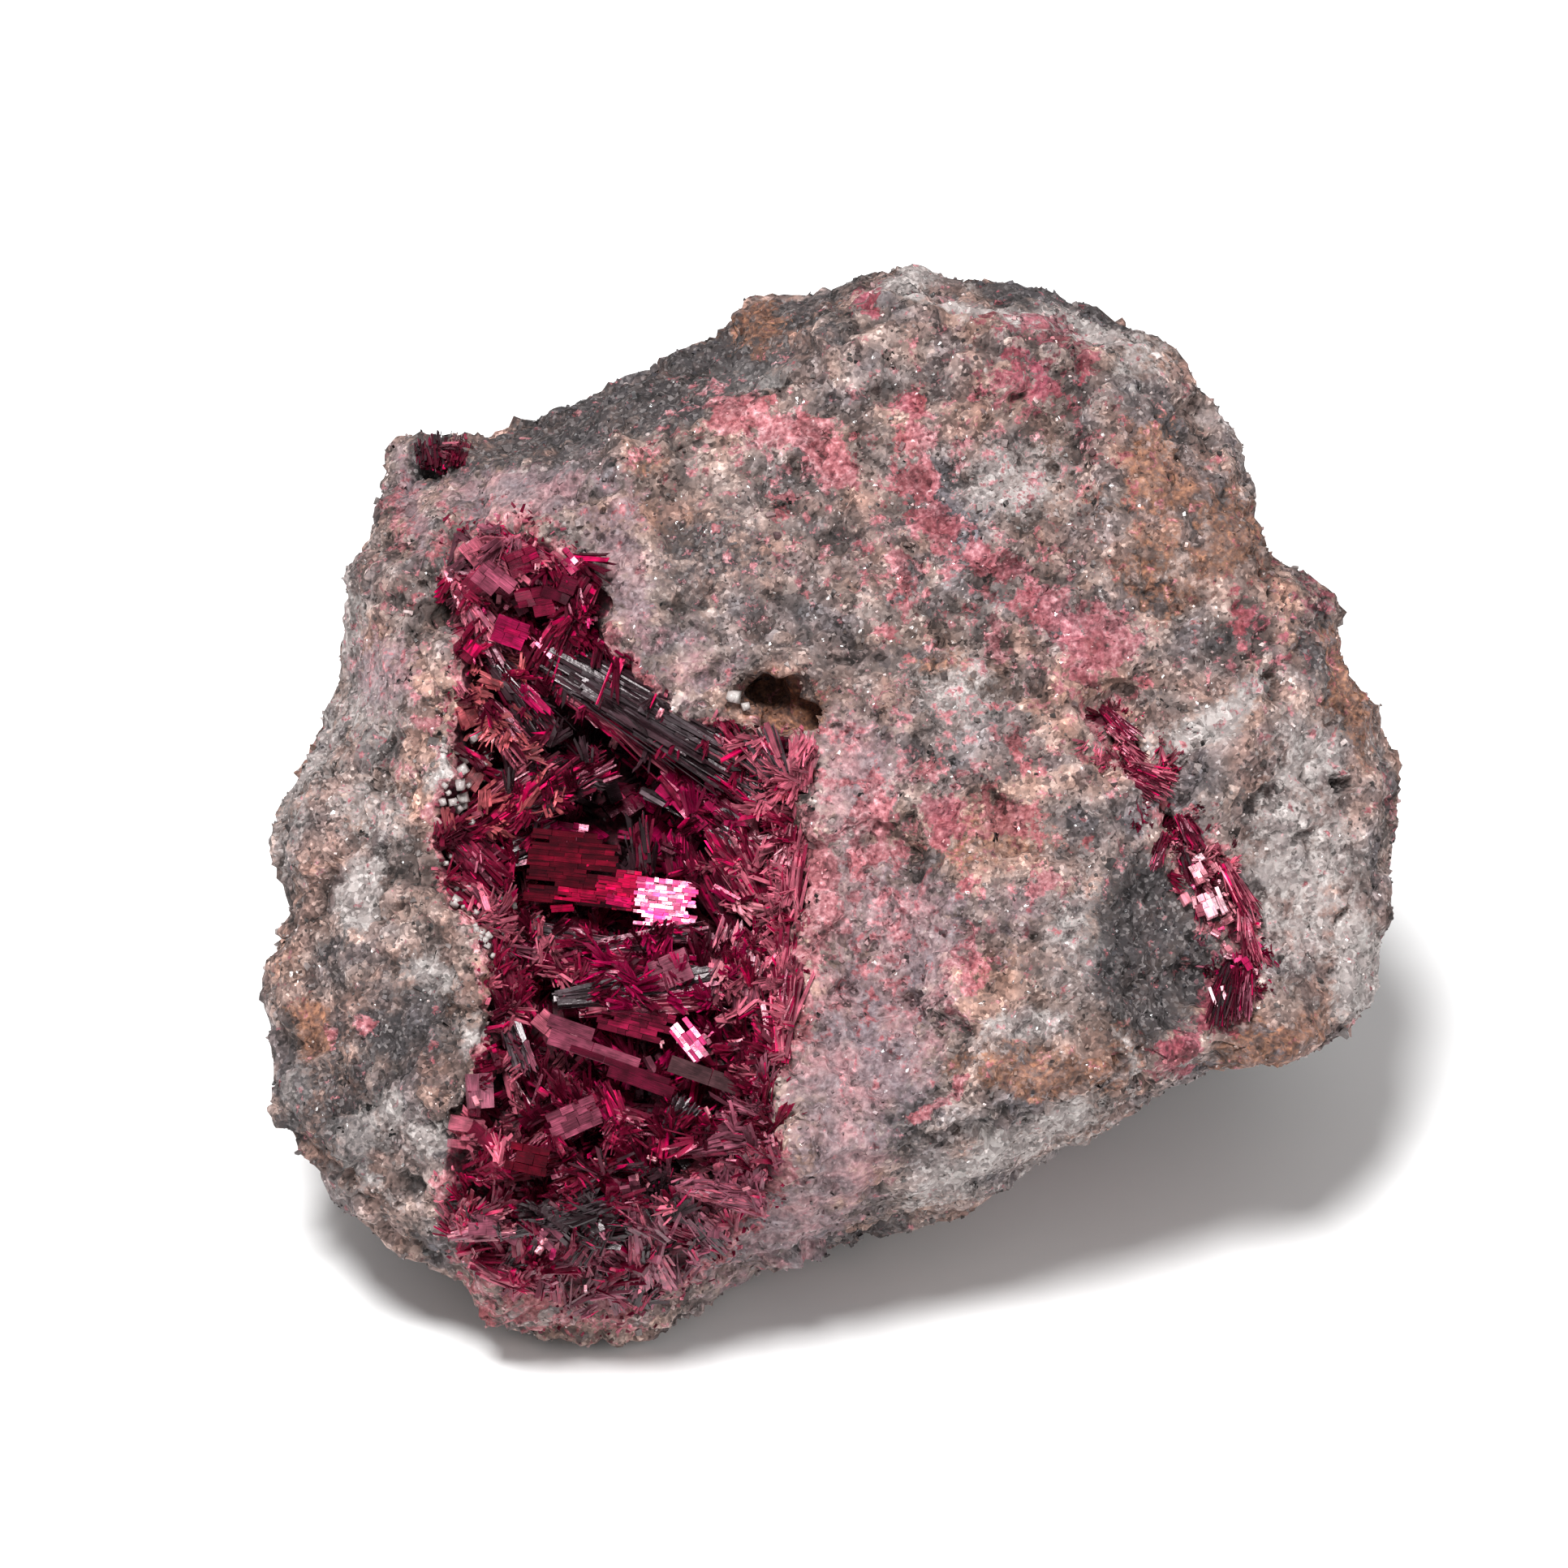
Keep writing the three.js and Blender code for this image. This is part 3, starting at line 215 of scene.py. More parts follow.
# Sheaves of blades in the vug. Columns: tint, second tint, share of the second, root (right, up,
# depth below the lid), tip (the same), half width at the root and at the tip, half height at
# the root and at the tip, number of blades, blade width, raggedness of the ends.
SHEAVES = [
    # The dark beam that bridges the upper vug, and the red fan at its lower end
    ("black", "steel", 0.35, (-22.3, 11.4, 1.6), (-6.6, 2.2, 2), 1.7, 2.1, 0.9, 0.7, 170, 0.42, 0.22),
    ("deep", "crimson", 0.5, (-14, 6.4, 2.4), (-3.6, 0, 2.6), 1.1, 2.4, 0.6, 0.8, 90, 0.40, 0.35),
    ("crimson", "rose", 0.3, (-22.6, 10.2, 2.8), (-12, 3.4, 3.4), 1.2, 1.3, 0.5, 0.5, 60, 0.40, 0.45),
    ("steel", "black", 0.4, (-9, 3, 2.6), (-2.7, -1.2, 2.2), 0.7, 1.1, 0.4, 0.5, 40, 0.32, 0.35),
    # The crimson sheaf that rises from the left wall into the hollow
    ("crimson", "deep", 0.5, (-28.6, -3, 5), (-20.6, 1.6, 4.4), 0.8, 1.9, 0.7, 0.9, 130, 0.32, 0.35),
    ("deep", "crimson", 0.5, (-24.6, -0.6, 5.2), (-17.4, 3.4, 4.8), 1, 1.5, 0.6, 0.8, 90, 0.32, 0.35),
    ("rose", "crimson", 0.5, (-28.4, -0.6, 4.4), (-22, 3.6, 4.4), 0.7, 1.5, 0.5, 0.6, 60, 0.32, 0.40),
    ("black", "deep", 0.5, (-26, -4.4, 6), (-21.4, -2.4, 6.4), 0.8, 1.2, 0.4, 0.5, 40, 0.34, 0.4),
    # Needles in the dark hollow
    ("steel", "black", 0.5, (-15, 0.8, 6.2), (-10.4, -1.4, 5.4), 0.3, 0.8, 0.3, 0.4, 12, 0.28, 0.35),
    ("black", "crimson", 0.35, (-14.8, -7.6, 7), (-15.4, -0.9, 4.6), 0.6, 1.2, 0.4, 0.6, 34, 0.34, 0.40),
    ("deep", "magenta", 0.4, (-11.8, -7.8, 7), (-12.4, -2.2, 4.8), 0.8, 1.3, 0.5, 0.6, 34, 0.40, 0.40),
    # Right side of the hollow
    ("crimson", "rose", 0.5, (-4.6, -9.8, 3.4), (-8.6, -1.8, 3), 1.2, 2.2, 0.8, 0.9, 110, 0.36, 0.35),
    ("deep", "crimson", 0.4, (-7.4, -10.6, 5.4), (-10.6, -3.6, 4.6), 1, 1.6, 0.6, 0.8, 60, 0.40, 0.35),
    ("steel", "deep", 0.5, (-4.2, -5, 2.8), (-9.4, -1.2, 3.6), 0.6, 1.3, 0.4, 0.5, 44, 0.36, 0.35),
    ("magenta", "crimson", 0.4, (-13, 2.4, 4.6), (-8.8, -1.8, 4.8), 0.9, 1.5, 0.7, 0.7, 30, 0.75, 0.45),
    ("crimson", "magenta", 0.4, (-9.6, 0.6, 4.4), (-5.4, -3.4, 4), 0.9, 1.3, 0.5, 0.6, 36, 0.55, 0.40),
    # The fringe of upright fibres along the right rim
    ("crimson", "rose", 0.5, (-4.2, -20, 1.8), (-3.6, -9.6, 1.3), 0.8, 0.8, 0.6, 0.5, 100, 0.36, 0.5),
    ("rose", "crimson", 0.5, (-3.9, -11.4, 1.8), (-3.3, -0.6, 1.1), 0.9, 0.9, 0.6, 0.5, 110, 0.36, 0.5),
    ("deep", "crimson", 0.4, (-5.4, -17.4, 3.2), (-5, -7.6, 2.6), 0.8, 1, 0.6, 0.6, 70, 0.38, 0.45),
    ("deep", "rose", 0.4, (-5.4, -24.6, 2.6), (-4.6, -14.6, 1.8), 0.7, 0.9, 0.5, 0.5, 60, 0.36, 0.45),
    ("rose", "pink", 0.4, (-2.6, 1.2, 1.2), (-2.2, 5.6, 0.8), 0.8, 1.2, 0.3, 0.4, 40, 0.34, 0.4),
    # Fans at the upper right corner
    ("steel", "rose", 0.5, (-3.2, 0.4, 1.8), (-6.6, 5.4, 1.4), 0.4, 2.2, 0.4, 0.6, 70, 0.34, 0.3),
    ("crimson", "rose", 0.5, (-6.4, 2.6, 1.8), (-9.8, 5.6, 1.8), 0.5, 1.9, 0.5, 0.7, 60, 0.36, 0.35),
    ("deep", "crimson", 0.5, (-3.4, 0, 2.2), (-9.4, 3, 2.4), 0.5, 1.4, 0.4, 0.6, 50, 0.36, 0.35),
    # Upper vug
    ("deep", "crimson", 0.5, (-19.4, 17.4, 1.8), (-23.4, 9.6, 2.4), 0.9, 1.7, 0.6, 0.8, 90, 0.42, 0.35),
    ("black", "crimson", 0.4, (-20.2, 13.2, 1.6), (-21.6, 7.6, 2.8), 0.7, 1.2, 0.5, 0.6, 50, 0.40, 0.35),
    ("mauve", "rose", 0.5, (-30.2, 18, 0.8), (-26.4, 11, 1.4), 0.5, 1.3, 0.4, 0.5, 60, 0.36, 0.40),
    ("mauve", "crimson", 0.5, (-27.6, 21.4, 0.6), (-22.6, 17.4, 1), 0.8, 1.8, 0.3, 0.4, 60, 0.42, 0.35),
    ("black", "deep", 0.5, (-27.2, 11.6, 2.6), (-22, 4.6, 3.6), 0.7, 1.4, 0.6, 0.7, 80, 0.40, 0.35),
    ("deep", "rose", 0.4, (-28.4, 8.6, 2.2), (-24.2, 3.4, 3.2), 0.8, 1.4, 0.5, 0.6, 60, 0.38, 0.35),
    ("crimson", "magenta", 0.4, (-20.2, 19.2, 0.9), (-21.2, 14.2, 1.8), 0.6, 1.1, 0.4, 0.5, 36, 0.50, 0.35),
    ("crimson", "magenta", 0.5, (-24.4, 13.2, 2.2), (-20.8, 9.6, 2.6), 1, 1.4, 0.6, 0.7, 40, 0.60, 0.40),
    # Bands under the hollow
    ("mauve", "steel", 0.5, (-24.8, -9.9, 3.6), (-17.6, -11.5, 3.4), 0.5, 0.7, 0.4, 0.4, 60, 0.34, 0.25),
    ("steel", "mauve", 0.5, (-18.6, -11.4, 3.4), (-10, -10, 3.6), 0.6, 0.7, 0.4, 0.4, 60, 0.34, 0.30),
    ("crimson", "magenta", 0.5, (-25.2, -11.6, 4.4), (-10.4, -14.2, 4.2),
     0.4, 1.9, 0.5, 0.7, 150, 0.36, 0.25),
    ("deep", "crimson", 0.5, (-25, -12.8, 4.2), (-14.6, -14.8, 3.8), 0.4, 1.3, 0.4, 0.5, 80, 0.34, 0.30),
    ("steel", "black", 0.5, (-21.2, -15.6, 3.4), (-6.9, -13.6, 2.8), 0.7, 0.9, 0.4, 0.5, 110, 0.36, 0.30),
    ("rose", "crimson", 0.5, (-19.4, -16.4, 3.4), (-8.8, -15.2, 3.2), 0.6, 1, 0.4, 0.5, 70, 0.36, 0.35),
    ("rose", "mauve", 0.5, (-9.8, -15.4, 3), (-7.4, -9.6, 3), 0.9, 1.6, 0.5, 0.6, 70, 0.36, 0.35),
    ("mauve", "rose", 0.4, (-7, -16.6, 2.4), (-6.2, -10.2, 2.4), 0.9, 1.2, 0.4, 0.5, 60, 0.36, 0.35),
    # Left side, middle
    ("crimson", "deep", 0.5, (-26.8, -11, 3.2), (-24.6, -18.6, 3), 0.7, 1.1, 0.5, 0.6, 60, 0.38, 0.40),
    ("steel", "mauve", 0.5, (-26.4, -15, 2.2), (-24, -21.4, 2.6), 0.5, 0.9, 0.4, 0.5, 46, 0.34, 0.35),
    ("deep", "crimson", 0.5, (-30.6, -2, 2.4), (-26, -6.8, 4.2), 1.2, 1.6, 0.7, 0.8, 80, 0.42, 0.40),
    ("crimson", "rose", 0.4, (-29.8, -6.4, 2.2), (-25.6, -9.8, 3.8), 1, 1.3, 0.5, 0.6, 56, 0.42, 0.40),
    # Radial sprays of the lower vug, around a few centres
    ("crimson", "magenta", 0.4, (-15.9, -27, 2.2), (-18.8, -22.4, 1.5), 0.5, 1.6, 0.4, 0.7, 70, 0.36, 0.35),
    ("steel", "black", 0.5, (-13.2, -26.6, 2), (-11.4, -23.4, 1.4), 0.4, 1.3, 0.4, 0.7, 46, 0.36, 0.35),
    ("mauve", "crimson", 0.4, (-12.6, -27.6, 1.9), (-5, -25.8, 1.2), 0.5, 1.6, 0.4, 0.6, 80, 0.34, 0.35),
    ("rose", "mauve", 0.5, (-11.6, -30.4, 1.8), (-4.8, -31.4, 1.1), 0.5, 1.5, 0.4, 0.6, 70, 0.34, 0.35),
    ("mauve", "black", 0.4, (-12.4, -31.4, 1.8), (-8.6, -35.6, 1.3), 0.5, 1.5, 0.4, 0.5, 60, 0.34, 0.35),
    ("mauve", "rose", 0.4, (-15.6, -32, 1.8), (-14, -38.6, 1.3), 0.5, 1.9, 0.4, 0.5, 80, 0.34, 0.35),
    ("black", "crimson", 0.5, (-16.6, -31, 1.8), (-20.4, -36.4, 1.4), 0.5, 1.5, 0.4, 0.5, 60, 0.36, 0.35),
    ("red", "deep", 0.4, (-17, -28.4, 2), (-21.8, -30.6, 1.5), 0.4, 1.5, 0.4, 0.6, 60, 0.38, 0.35),
    ("crimson", "deep", 0.5, (-9, -35, 1.5), (-13.4, -33, 1.5), 0.5, 1.2, 0.4, 0.5, 50, 0.34, 0.35),
    ("rose", "crimson", 0.4, (-20.2, -23.6, 2.2), (-15, -25.8, 1.6), 0.7, 1.2, 0.4, 0.5, 50, 0.38, 0.35),
    ("crimson", "red", 0.5, (-27.4, -29.6, 1.4), (-21.6, -27.4, 1.3), 0.6, 1.8, 0.5, 0.6, 70, 0.46, 0.35),
    ("black", "steel", 0.5, (-25.8, -34, 1.4), (-18, -31.2, 1.2), 0.6, 1.6, 0.4, 0.6, 80, 0.40, 0.30),
    ("mauve", "pink", 0.4, (-30, -34, 0.9), (-25, -32.8, 1), 0.7, 1.5, 0.4, 0.5, 50, 0.44, 0.35),
    ("crimson", "rose", 0.5, (-28.2, -36.4, 1), (-22.8, -38, 1), 0.7, 1.5, 0.4, 0.5, 56, 0.42, 0.35),
    ("rose", "mauve", 0.5, (-6, -22.6, 2), (-5, -29.6, 1.2), 0.9, 1.5, 0.4, 0.5, 70, 0.38, 0.35),
    ("crimson", "deep", 0.5, (-7.4, -18.6, 3), (-6, -24.6, 1.8), 0.8, 1.5, 0.5, 0.6, 70, 0.38, 0.35),
    ("deep", "mauve", 0.5, (-22.8, -21.6, 3.2), (-18.8, -25.6, 1.6), 1, 1.5, 0.5, 0.6, 60, 0.40, 0.35),
]

# How much finer and more numerous a sheaf's splinters are than its columns say.
SPLINTER_COUNT, SPLINTER_WIDTH = 2.3, 0.72

# Which three tints the small sprays and blocks take in each part of the vug: right, up, tints.
VUG_REGIONS = [
    (-26, 20, "mauve", "rose", "crimson"), (-22, 17.5, "crimson", "deep", "magenta"),
    (-28, 14, "rose", "crimson", "mauve"), (-23, 11, "crimson", "magenta", "deep"),
    (-28, 7, "coral", "deep", "coral"), (-27, 2, "crimson", "coral", "deep"),
    (-23, 5, "deep", "black", "crimson"), (-15, 4, "deep", "black", "deep"),
    (-7, 4, "crimson", "rose", "deep"), (-4, 1, "rose", "crimson", "crimson"),
    (-28, -4, "crimson", "deep", "rose"), (-25, -9, "rose", "crimson", "deep"),
    (-28.6, -8, "rose", "mauve", "crimson"), (-18, -4, "deep", "black", "magenta"),
    (-11, -2, "magenta", "deep", "magenta"), (-6, -6, "rose", "crimson", "deep"),
    (-5, -10, "rose", "pink", "crimson"), (-4.6, -15, "rose", "crimson", "mauve"),
    (-12, -11, "deep", "magenta", "magenta"), (-20, -12, "deep", "crimson", "red"),
    (-25, -14, "rose", "crimson", "mauve"), (-25, -20, "rose", "deep", "mauve"),
    (-18, -18, "magenta", "deep", "red"), (-11, -18, "deep", "magenta", "mauve"),
    (-7, -24, "crimson", "mauve", "deep"), (-13, -25, "deep", "crimson", "black"),
    (-20, -26, "crimson", "deep", "mauve"), (-27, -27, "rose", "crimson", "rose"),
    (-24, -33, "black", "crimson", "mauve"), (-17, -31, "crimson", "black", "mauve"),
    (-9, -31, "mauve", "rose", "crimson"), (-14, -36, "mauve", "black", "crimson"),
    (-21, -38, "crimson", "mauve", "rose"), (-27, -37, "crimson", "rose", "deep"),
]

# The middle line of the dark beam.
BEAM_LINE = np.array([(-22.3, 11.4), (-6.6, 2.2)])

# Holes that stay open between the blades: right, up, half sizes.
DARK_HOLES = [
    (-17.6, -1.3, 3.6, 2.4), (-21.7, -16.9, 1.9, 1.6), (-13.4, -16.2, 1.2, 0.9), (-28.6, 5, 0.8, 0.8),
    (-29.4, -7.6, 0.9, 2.2), (-18.6, 6.2, 2.2, 0.9),
]

# Cleavage plates in the vug. Columns: tint, centre (right, up, depth below the lid), long side's
# heading, tilt of the long side and of the short side toward the eye, length, height, bricks in a
# row, rows, and how far the bricks lean on their own, in degrees.
PLATES = [
    ("red", (-20.6, -5.2, 5.5), -5, 2, 6, 7.2, 5.8, 4, 17, 1.6),
    # The bright red and magenta bricks over the first plate are painted glow, standing for light shining
    # through it.
    ("ember", (-18.2, -4.6, 5.35), -12, 0, 5, 2.4, 1.4, 3, 5, 3),
    ("ember", (-19.6, -7.4, 5.3), -6, 3, 8, 4.6, 1, 4, 4, 2.6),
    ("ember", (-17.4, -6.6, 5.2), -8, 3, 4, 2.6, 1.4, 3, 5, 3),
    ("ember", (-21.8, -8.4, 5.1), 4, 3, 8, 2.8, 0.5, 3, 2, 2.6),
    ("hot", (-16.9, -7.8, 5.1), -10, 3, 2, 2.2, 0.8, 3, 3, 3),
    ("glint", (-13.2, -8, 4.6), -6, 3, -12, 5, 3.9, 9, 13, 3.2),
    ("ember", (-16, -7, 5.2), -6, 4, -2, 2.6, 3.2, 4, 8, 3),
    ("magenta", (-21.6, -2.6, 6.4), -8, 2, -20, 4.2, 2.2, 5, 4, 3),
    ("wine", (-18.6, -19.2, 1.5), -19, 1, 3, 8.2, 2.4, 2, 2, 1.6),
    ("rose", (-22.4, -17.6, 1.6), -40, 3, 4, 2.4, 1.6, 2, 2, 3),
    ("deep", (-16.8, -21.2, 1.8), -19, 1, 6, 9, 1.5, 2, 2, 0.9),
    ("brown", (-10, -22.2, 1.4), -19, 2, 2, 6.4, 2.6, 2, 2, 1.4),
    ("wine", (-13.8, -20.3, 1.9), -14, 0, 8, 3.4, 1.4, 2, 1, 2),
    ("crimson", (-15.4, -17.1, 3), -14, 0, 4, 6.4, 3, 5, 8, 3),
    ("glint", (-11.2, -18.8, 1.5), -52, 14, -8, 3.6, 1.8, 4, 5, 4),
    ("mauve", (-12.6, -13.2, 1.6), 24, 10, -10, 3.2, 2.6, 2, 2, 2),
    ("wine", (-20.4, -25, 0.3), 24, -4, 8, 4.2, 2.4, 4, 4, 2.5),
    ("wine", (-26.8, 17.4, -0.5), -38, -8, 10, 3.2, 2.2, 3, 3, 4),
    ("rose", (-28.2, 19.6, -0.7), -50, -6, 8, 2.6, 1.8, 3, 3, 5),
    ("crimson", (-24.6, 19, -0.3), 24, -14, 8, 2.8, 2, 3, 3, 5),
    ("magenta", (-25.6, 13.4, 0), -20, -8, 10, 2.8, 2.2, 3, 3, 5),
    ("crimson", (-23.6, 15.8, 0.1), 10, 12, 14, 2.8, 2.4, 3, 3, 6),
    ("magenta", (-22.2, 12.6, 0.7), 40, -12, -6, 2.4, 1.8, 2, 2, 6),
    ("deep", (-21.8, 17, 0), -20, -12, 10, 2.4, 2.2, 2, 2, 6),
    ("magenta", (-21, 19, -0.3), -50, 8, -14, 2.2, 1.2, 4, 3, 3),
    ("magenta", (-10.8, -0.4, 4.4), -50, 10, 4, 3.2, 2.6, 4, 3, 6),
    ("magenta", (-12.6, 0.8, 5), -40, 6, -4, 2.4, 1.8, 3, 3, 8),
    ("red", (-24, -28.2, -0.6), -12, 8, 4, 3.4, 2.2, 4, 3, 5),
    ("mauve", (-27.2, -33.4, -1), 0, 6, 0, 2.8, 1.7, 3, 2, 3),
]

FISSURE_SHEAVES = [
    ("deep", "crimson", 0.5, (21.2, 7.6, -0.4), (24, 4.9, -0.5), 0.3, 0.8, 0.2, 0.3, 44, 0.20, 0.40),
    ("crimson", "rose", 0.4, (21.6, 6.2, -0.1), (23.6, 4.8, -0.3), 0.4, 0.6, 0.2, 0.3, 26, 0.20, 0.40),
    ("rose", "crimson", 0.5, (22.8, 4.6, -0.3), (24.6, 2.8, -0.4), 0.6, 0.8, 0.2, 0.3, 40, 0.18, 0.45),
    ("crimson", "rose", 0.5, (23.4, 3, -0.2), (27.2, 1.4, -0.6), 0.5, 1.2, 0.3, 0.4, 60, 0.20, 0.42),
    ("deep", "rose", 0.4, (23, 2.2, 0), (26.2, 0.4, -0.4), 0.4, 0.8, 0.3, 0.4, 44, 0.20, 0.42),
    ("deep", "crimson", 0.5, (26.2, -2.4, 0.3), (25.2, -5.2, -0.2), 0.4, 0.5, 0.3, 0.4, 40, 0.20, 0.42),
    ("deep", "crimson", 0.5, (27.4, -0.8, 0.7), (29, -3.6, -0.3), 0.5, 0.8, 0.3, 0.4, 44, 0.20, 0.42),
    ("deep", "black", 0.4, (27.2, -3, 0.7), (28.2, -6.4, 0.2), 0.4, 0.6, 0.3, 0.4, 36, 0.20, 0.40),
    ("deep", "rose", 0.4, (28.4, -4.6, 0.7), (29.2, -9.8, 0.2), 0.3, 0.6, 0.3, 0.4, 36, 0.20, 0.40),
    ("crimson", "rose", 0.5, (31, -4.8, -0.3), (33.4, -9.2, -0.5), 0.5, 0.9, 0.2, 0.3, 50, 0.18, 0.45),
    ("rose", "crimson", 0.5, (32.4, -8.4, -0.3), (33.2, -13, -0.5), 0.4, 0.8, 0.2, 0.3, 40, 0.18, 0.45),
    ("deep", "black", 0.4, (31.4, -12.6, 0.1), (30.4, -17.6, -0.4), 0.7, 1.3, 0.3, 0.4, 70, 0.20, 0.42),
    ("deep", "mauve", 0.4, (32.8, -12.8, -0.2), (32.4, -17, -0.5), 0.5, 0.9, 0.2, 0.3, 44, 0.18, 0.45),
]
FISSURE_PLATES = [
    ("pink", (28.9, -5.4, -1), -62, 15, -4, 1.6, 1.1, 3, 3, 8),
    ("painted_glint_pink", (30, -7.8, -1.2), -66, 15, -5, 2.2, 1.8, 3, 5, 6),
    ("magenta", (32.6, -12.6, -1.1), -60, 4, 8, 1.2, 0.9, 2, 2, 8),
    ("painted_glint_pink", (30.9, -15, -1.2), -74, 14, -4, 1.5, 0.26, 1, 1, 2),
    ("painted_glint_pink", (30.1, -15.4, -1.2), -70, 15, -4, 2, 0.24, 1, 1, 2),
]
FISSURE_REGIONS = [
    (22.2, 6.4, "crimson", "rose", "deep"), (23.4, 4.4, "rose", "coral", "crimson"),
    (24.6, 2, "crimson", "rose", "coral"), (26.4, 0.2, "deep", "crimson", "deep"),
    (25.8, -3.2, "crimson", "deep", "rose"), (28, -2.8, "crimson", "rose", "deep"),
    (29.4, -5.6, "rose", "pink", "crimson"), (31, -8.2, "pink", "rose", "magenta"),
    (32.8, -9.4, "rose", "pink", "crimson"), (30, -9.6, "deep", "mauve", "steel"),
    (32.2, -12.4, "crimson", "magenta", "rose"), (31.4, -15.2, "deep", "black", "crimson"),
    (29.8, -15.6, "mauve", "deep", "rose"),
]

CORNER_SHEAVES = [
    ("deep", "black", 0.4, (-31, 26.2, 0.4), (-31, 28.9, -1), 0.9, 1.3, 0.5, 0.7, 80, 0.22, 0.45),
    ("deep", "crimson", 0.4, (-30, 26.6, 0.4), (-29.4, 28.8, -1), 0.8, 0.9, 0.4, 0.5, 56, 0.22, 0.45),
    ("black", "deep", 0.5, (-32.4, 26.4, 0.4), (-32.4, 28.4, -0.8), 0.6, 0.9, 0.4, 0.5, 50, 0.22, 0.45),
    ("deep", "rose", 0.4, (-31.6, 27.6, 0.4), (-29.6, 27.4, -0.6), 0.6, 0.9, 0.4, 0.5, 36, 0.26, 0.45),
]


# How far the blades of a sheaf and the bricks of a plate stay clear of the rock, in mm, and how far
# a sheaf bows out, as a share of its length.
SHEAF_CLEARANCE, PLATE_CLEARANCE = 0.4, 0.6
SHEAF_BOW = 0.06
# Small things strewn in the vug and in the fissure, and the spot of the fissure that stays open.
STRAY_BLOCKS, RIM_BLADES = 120, 900
VUG_SPARKLES, FISSURE_SPARKLES = 110, 54
FISSURE_OPEN = (26.1, -0.6)
# Quartz: the middle of the beads along the vug's left rim, then the single larger grains.
BEADS_MIDDLE = (-27.0, -4.5)
LARGE_QUARTZ = {"right": (-7.8, -7.0, -24.6), "up": (8.4, 7.6, 7.2), "size": (0.9, 0.6, 1.5)}
# How far the rock's relief may pass the solid's box, and the band over the floor that is made flat.
ROCK_MARGIN, BASE_BAND = 0.6, 0.12
# Random patches of stain on the hidden side: kind, size in mm and strength.
BACK_PATCHES = (
    ("pink", 9, 0.5), ("rust", 16, 0.8), ("pale", 13, 0.8), ("dark", 15, 0.75), ("lilac", 18, 0.55),
)
# Loose grains: the greys, how common each is, their warm cast, and the colours they take from stains and
# from the painted shade in the dark mask.
GRAIN_GREYS = (0.04, 0.10, 0.16, 0.26, 0.62)
GREY_SHARES = (0.2, 0.27, 0.3, 0.18, 0.05)
GRAIN_CAST = np.array([1.0, 0.82, 0.79])
GRAIN_STAINS = {
    "pale": (0.40, 0.35, 0.335), "dark": (0.04, 0.036, 0.042), "rust": (0.18, 0.075, 0.04),
    "lilac": (0.27, 0.17, 0.185), "pink": (0.38, 0.12, 0.14),
}


def to_world(sight):
    """Sight-frame points (mm, N x 3) as points of the object (mm); the lines of sight meet at the eye."""
    right, up, toward = (sight[:, n : n + 1] for n in range(3))
    narrowing = 1 - toward / SIGHT_DISTANCE
    return HEART + right * narrowing * RIGHT + up * narrowing * UP + toward * TOWARD


def to_sight(world):
    """The inverse of to_world."""
    away = world - HEART
    toward = away @ TOWARD
    narrowing = 1 - toward / SIGHT_DISTANCE
    return np.stack([away @ RIGHT / narrowing, away @ UP / narrowing, toward], axis=1)


def broad_face(up):
    """How far the unbroken broad face stands toward the eye at a height of the sight frame."""
    return BROAD_LEVEL - BROAD_LEAN * up


# Large odd numbers that mix up the bits of a cell's place, and the largest number of 32 bits.
MIXERS = [np.uint32(n) for n in (374761393, 668265263, 2246822519, 1274126177, 2654435761)]
SEED_STEP, LARGEST = 7919, 4294967295.0


def lattice(cells, seed):
    """A repeatable number from 0 to 1 for each whole-number cell (N x 3)."""
    i, j, k = (cells[:, n].astype(np.int64).astype(np.uint32) for n in range(3))
    mixed = i * MIXERS[0] ^ j * MIXERS[1] ^ k * MIXERS[2] ^ np.uint32(seed * SEED_STEP)
    mixed = (mixed ^ (mixed >> np.uint32(13))) * MIXERS[3]
    mixed = (mixed ^ (mixed >> np.uint32(15))) * MIXERS[4]
    return ((mixed ^ (mixed >> np.uint32(16))) / LARGEST).astype(float)


def noise(points, size, seed=0):
    """Smooth noise from -1 to 1: numbers on the corners of cells of `size` mm, blended inside each cell."""
    scaled = points / size
    cell = np.floor(scaled)
    blend = scaled - cell
    blend = blend * blend * (3 - 2 * blend)
    total = np.zeros(len(points))
    for corner in np.ndindex(2, 2, 2):
        weight = np.prod(np.where(np.array(corner), blend, 1 - blend), axis=1)
        total += weight * lattice(cell + corner, seed)
    return 2 * total - 1


def fractal(points, size, layers, seed=0, gain=0.5):
    """Noise on ever smaller cells, each layer half the size and `gain` times the height of the last."""
    return sum(gain**n * noise(points, size / 2**n, seed + 11 * n) for n in range(layers))


def cells_around(points, size, seed=0):
    """The nearest of the random points, one in each cell: distance over `size`, a number for its cell,
    and the offset from it in cells."""
    scaled = points / size
    cell = np.floor(scaled)
    best = np.full(len(points), 9.0)
    tag = np.zeros(len(points))
    offset = np.zeros((len(points), 3))
    for step in np.ndindex(3, 3, 3):
        near = cell + np.array(step) - 1
        spot = near + np.stack([lattice(near, seed + n) for n in (1, 2, 3)], axis=1)
        away = scaled - spot
        distance = np.linalg.norm(away, axis=1)
        closer = distance < best
        best = np.where(closer, distance, best)
        tag = np.where(closer, lattice(near, seed + 4), tag)
        offset = np.where(closer[:, None], away, offset)
    return best, tag, offset


def smoothstep(value, low, high):
    """0 below `low`, 1 above `high`, and an even S between them."""
    share = np.clip((value - low) / (high - low), 0, 1)
    return share * share * (3 - 2 * share)


def unit(vectors):
    """Each row brought to length one."""
    return vectors / np.linalg.norm(vectors, axis=1)[:, None]


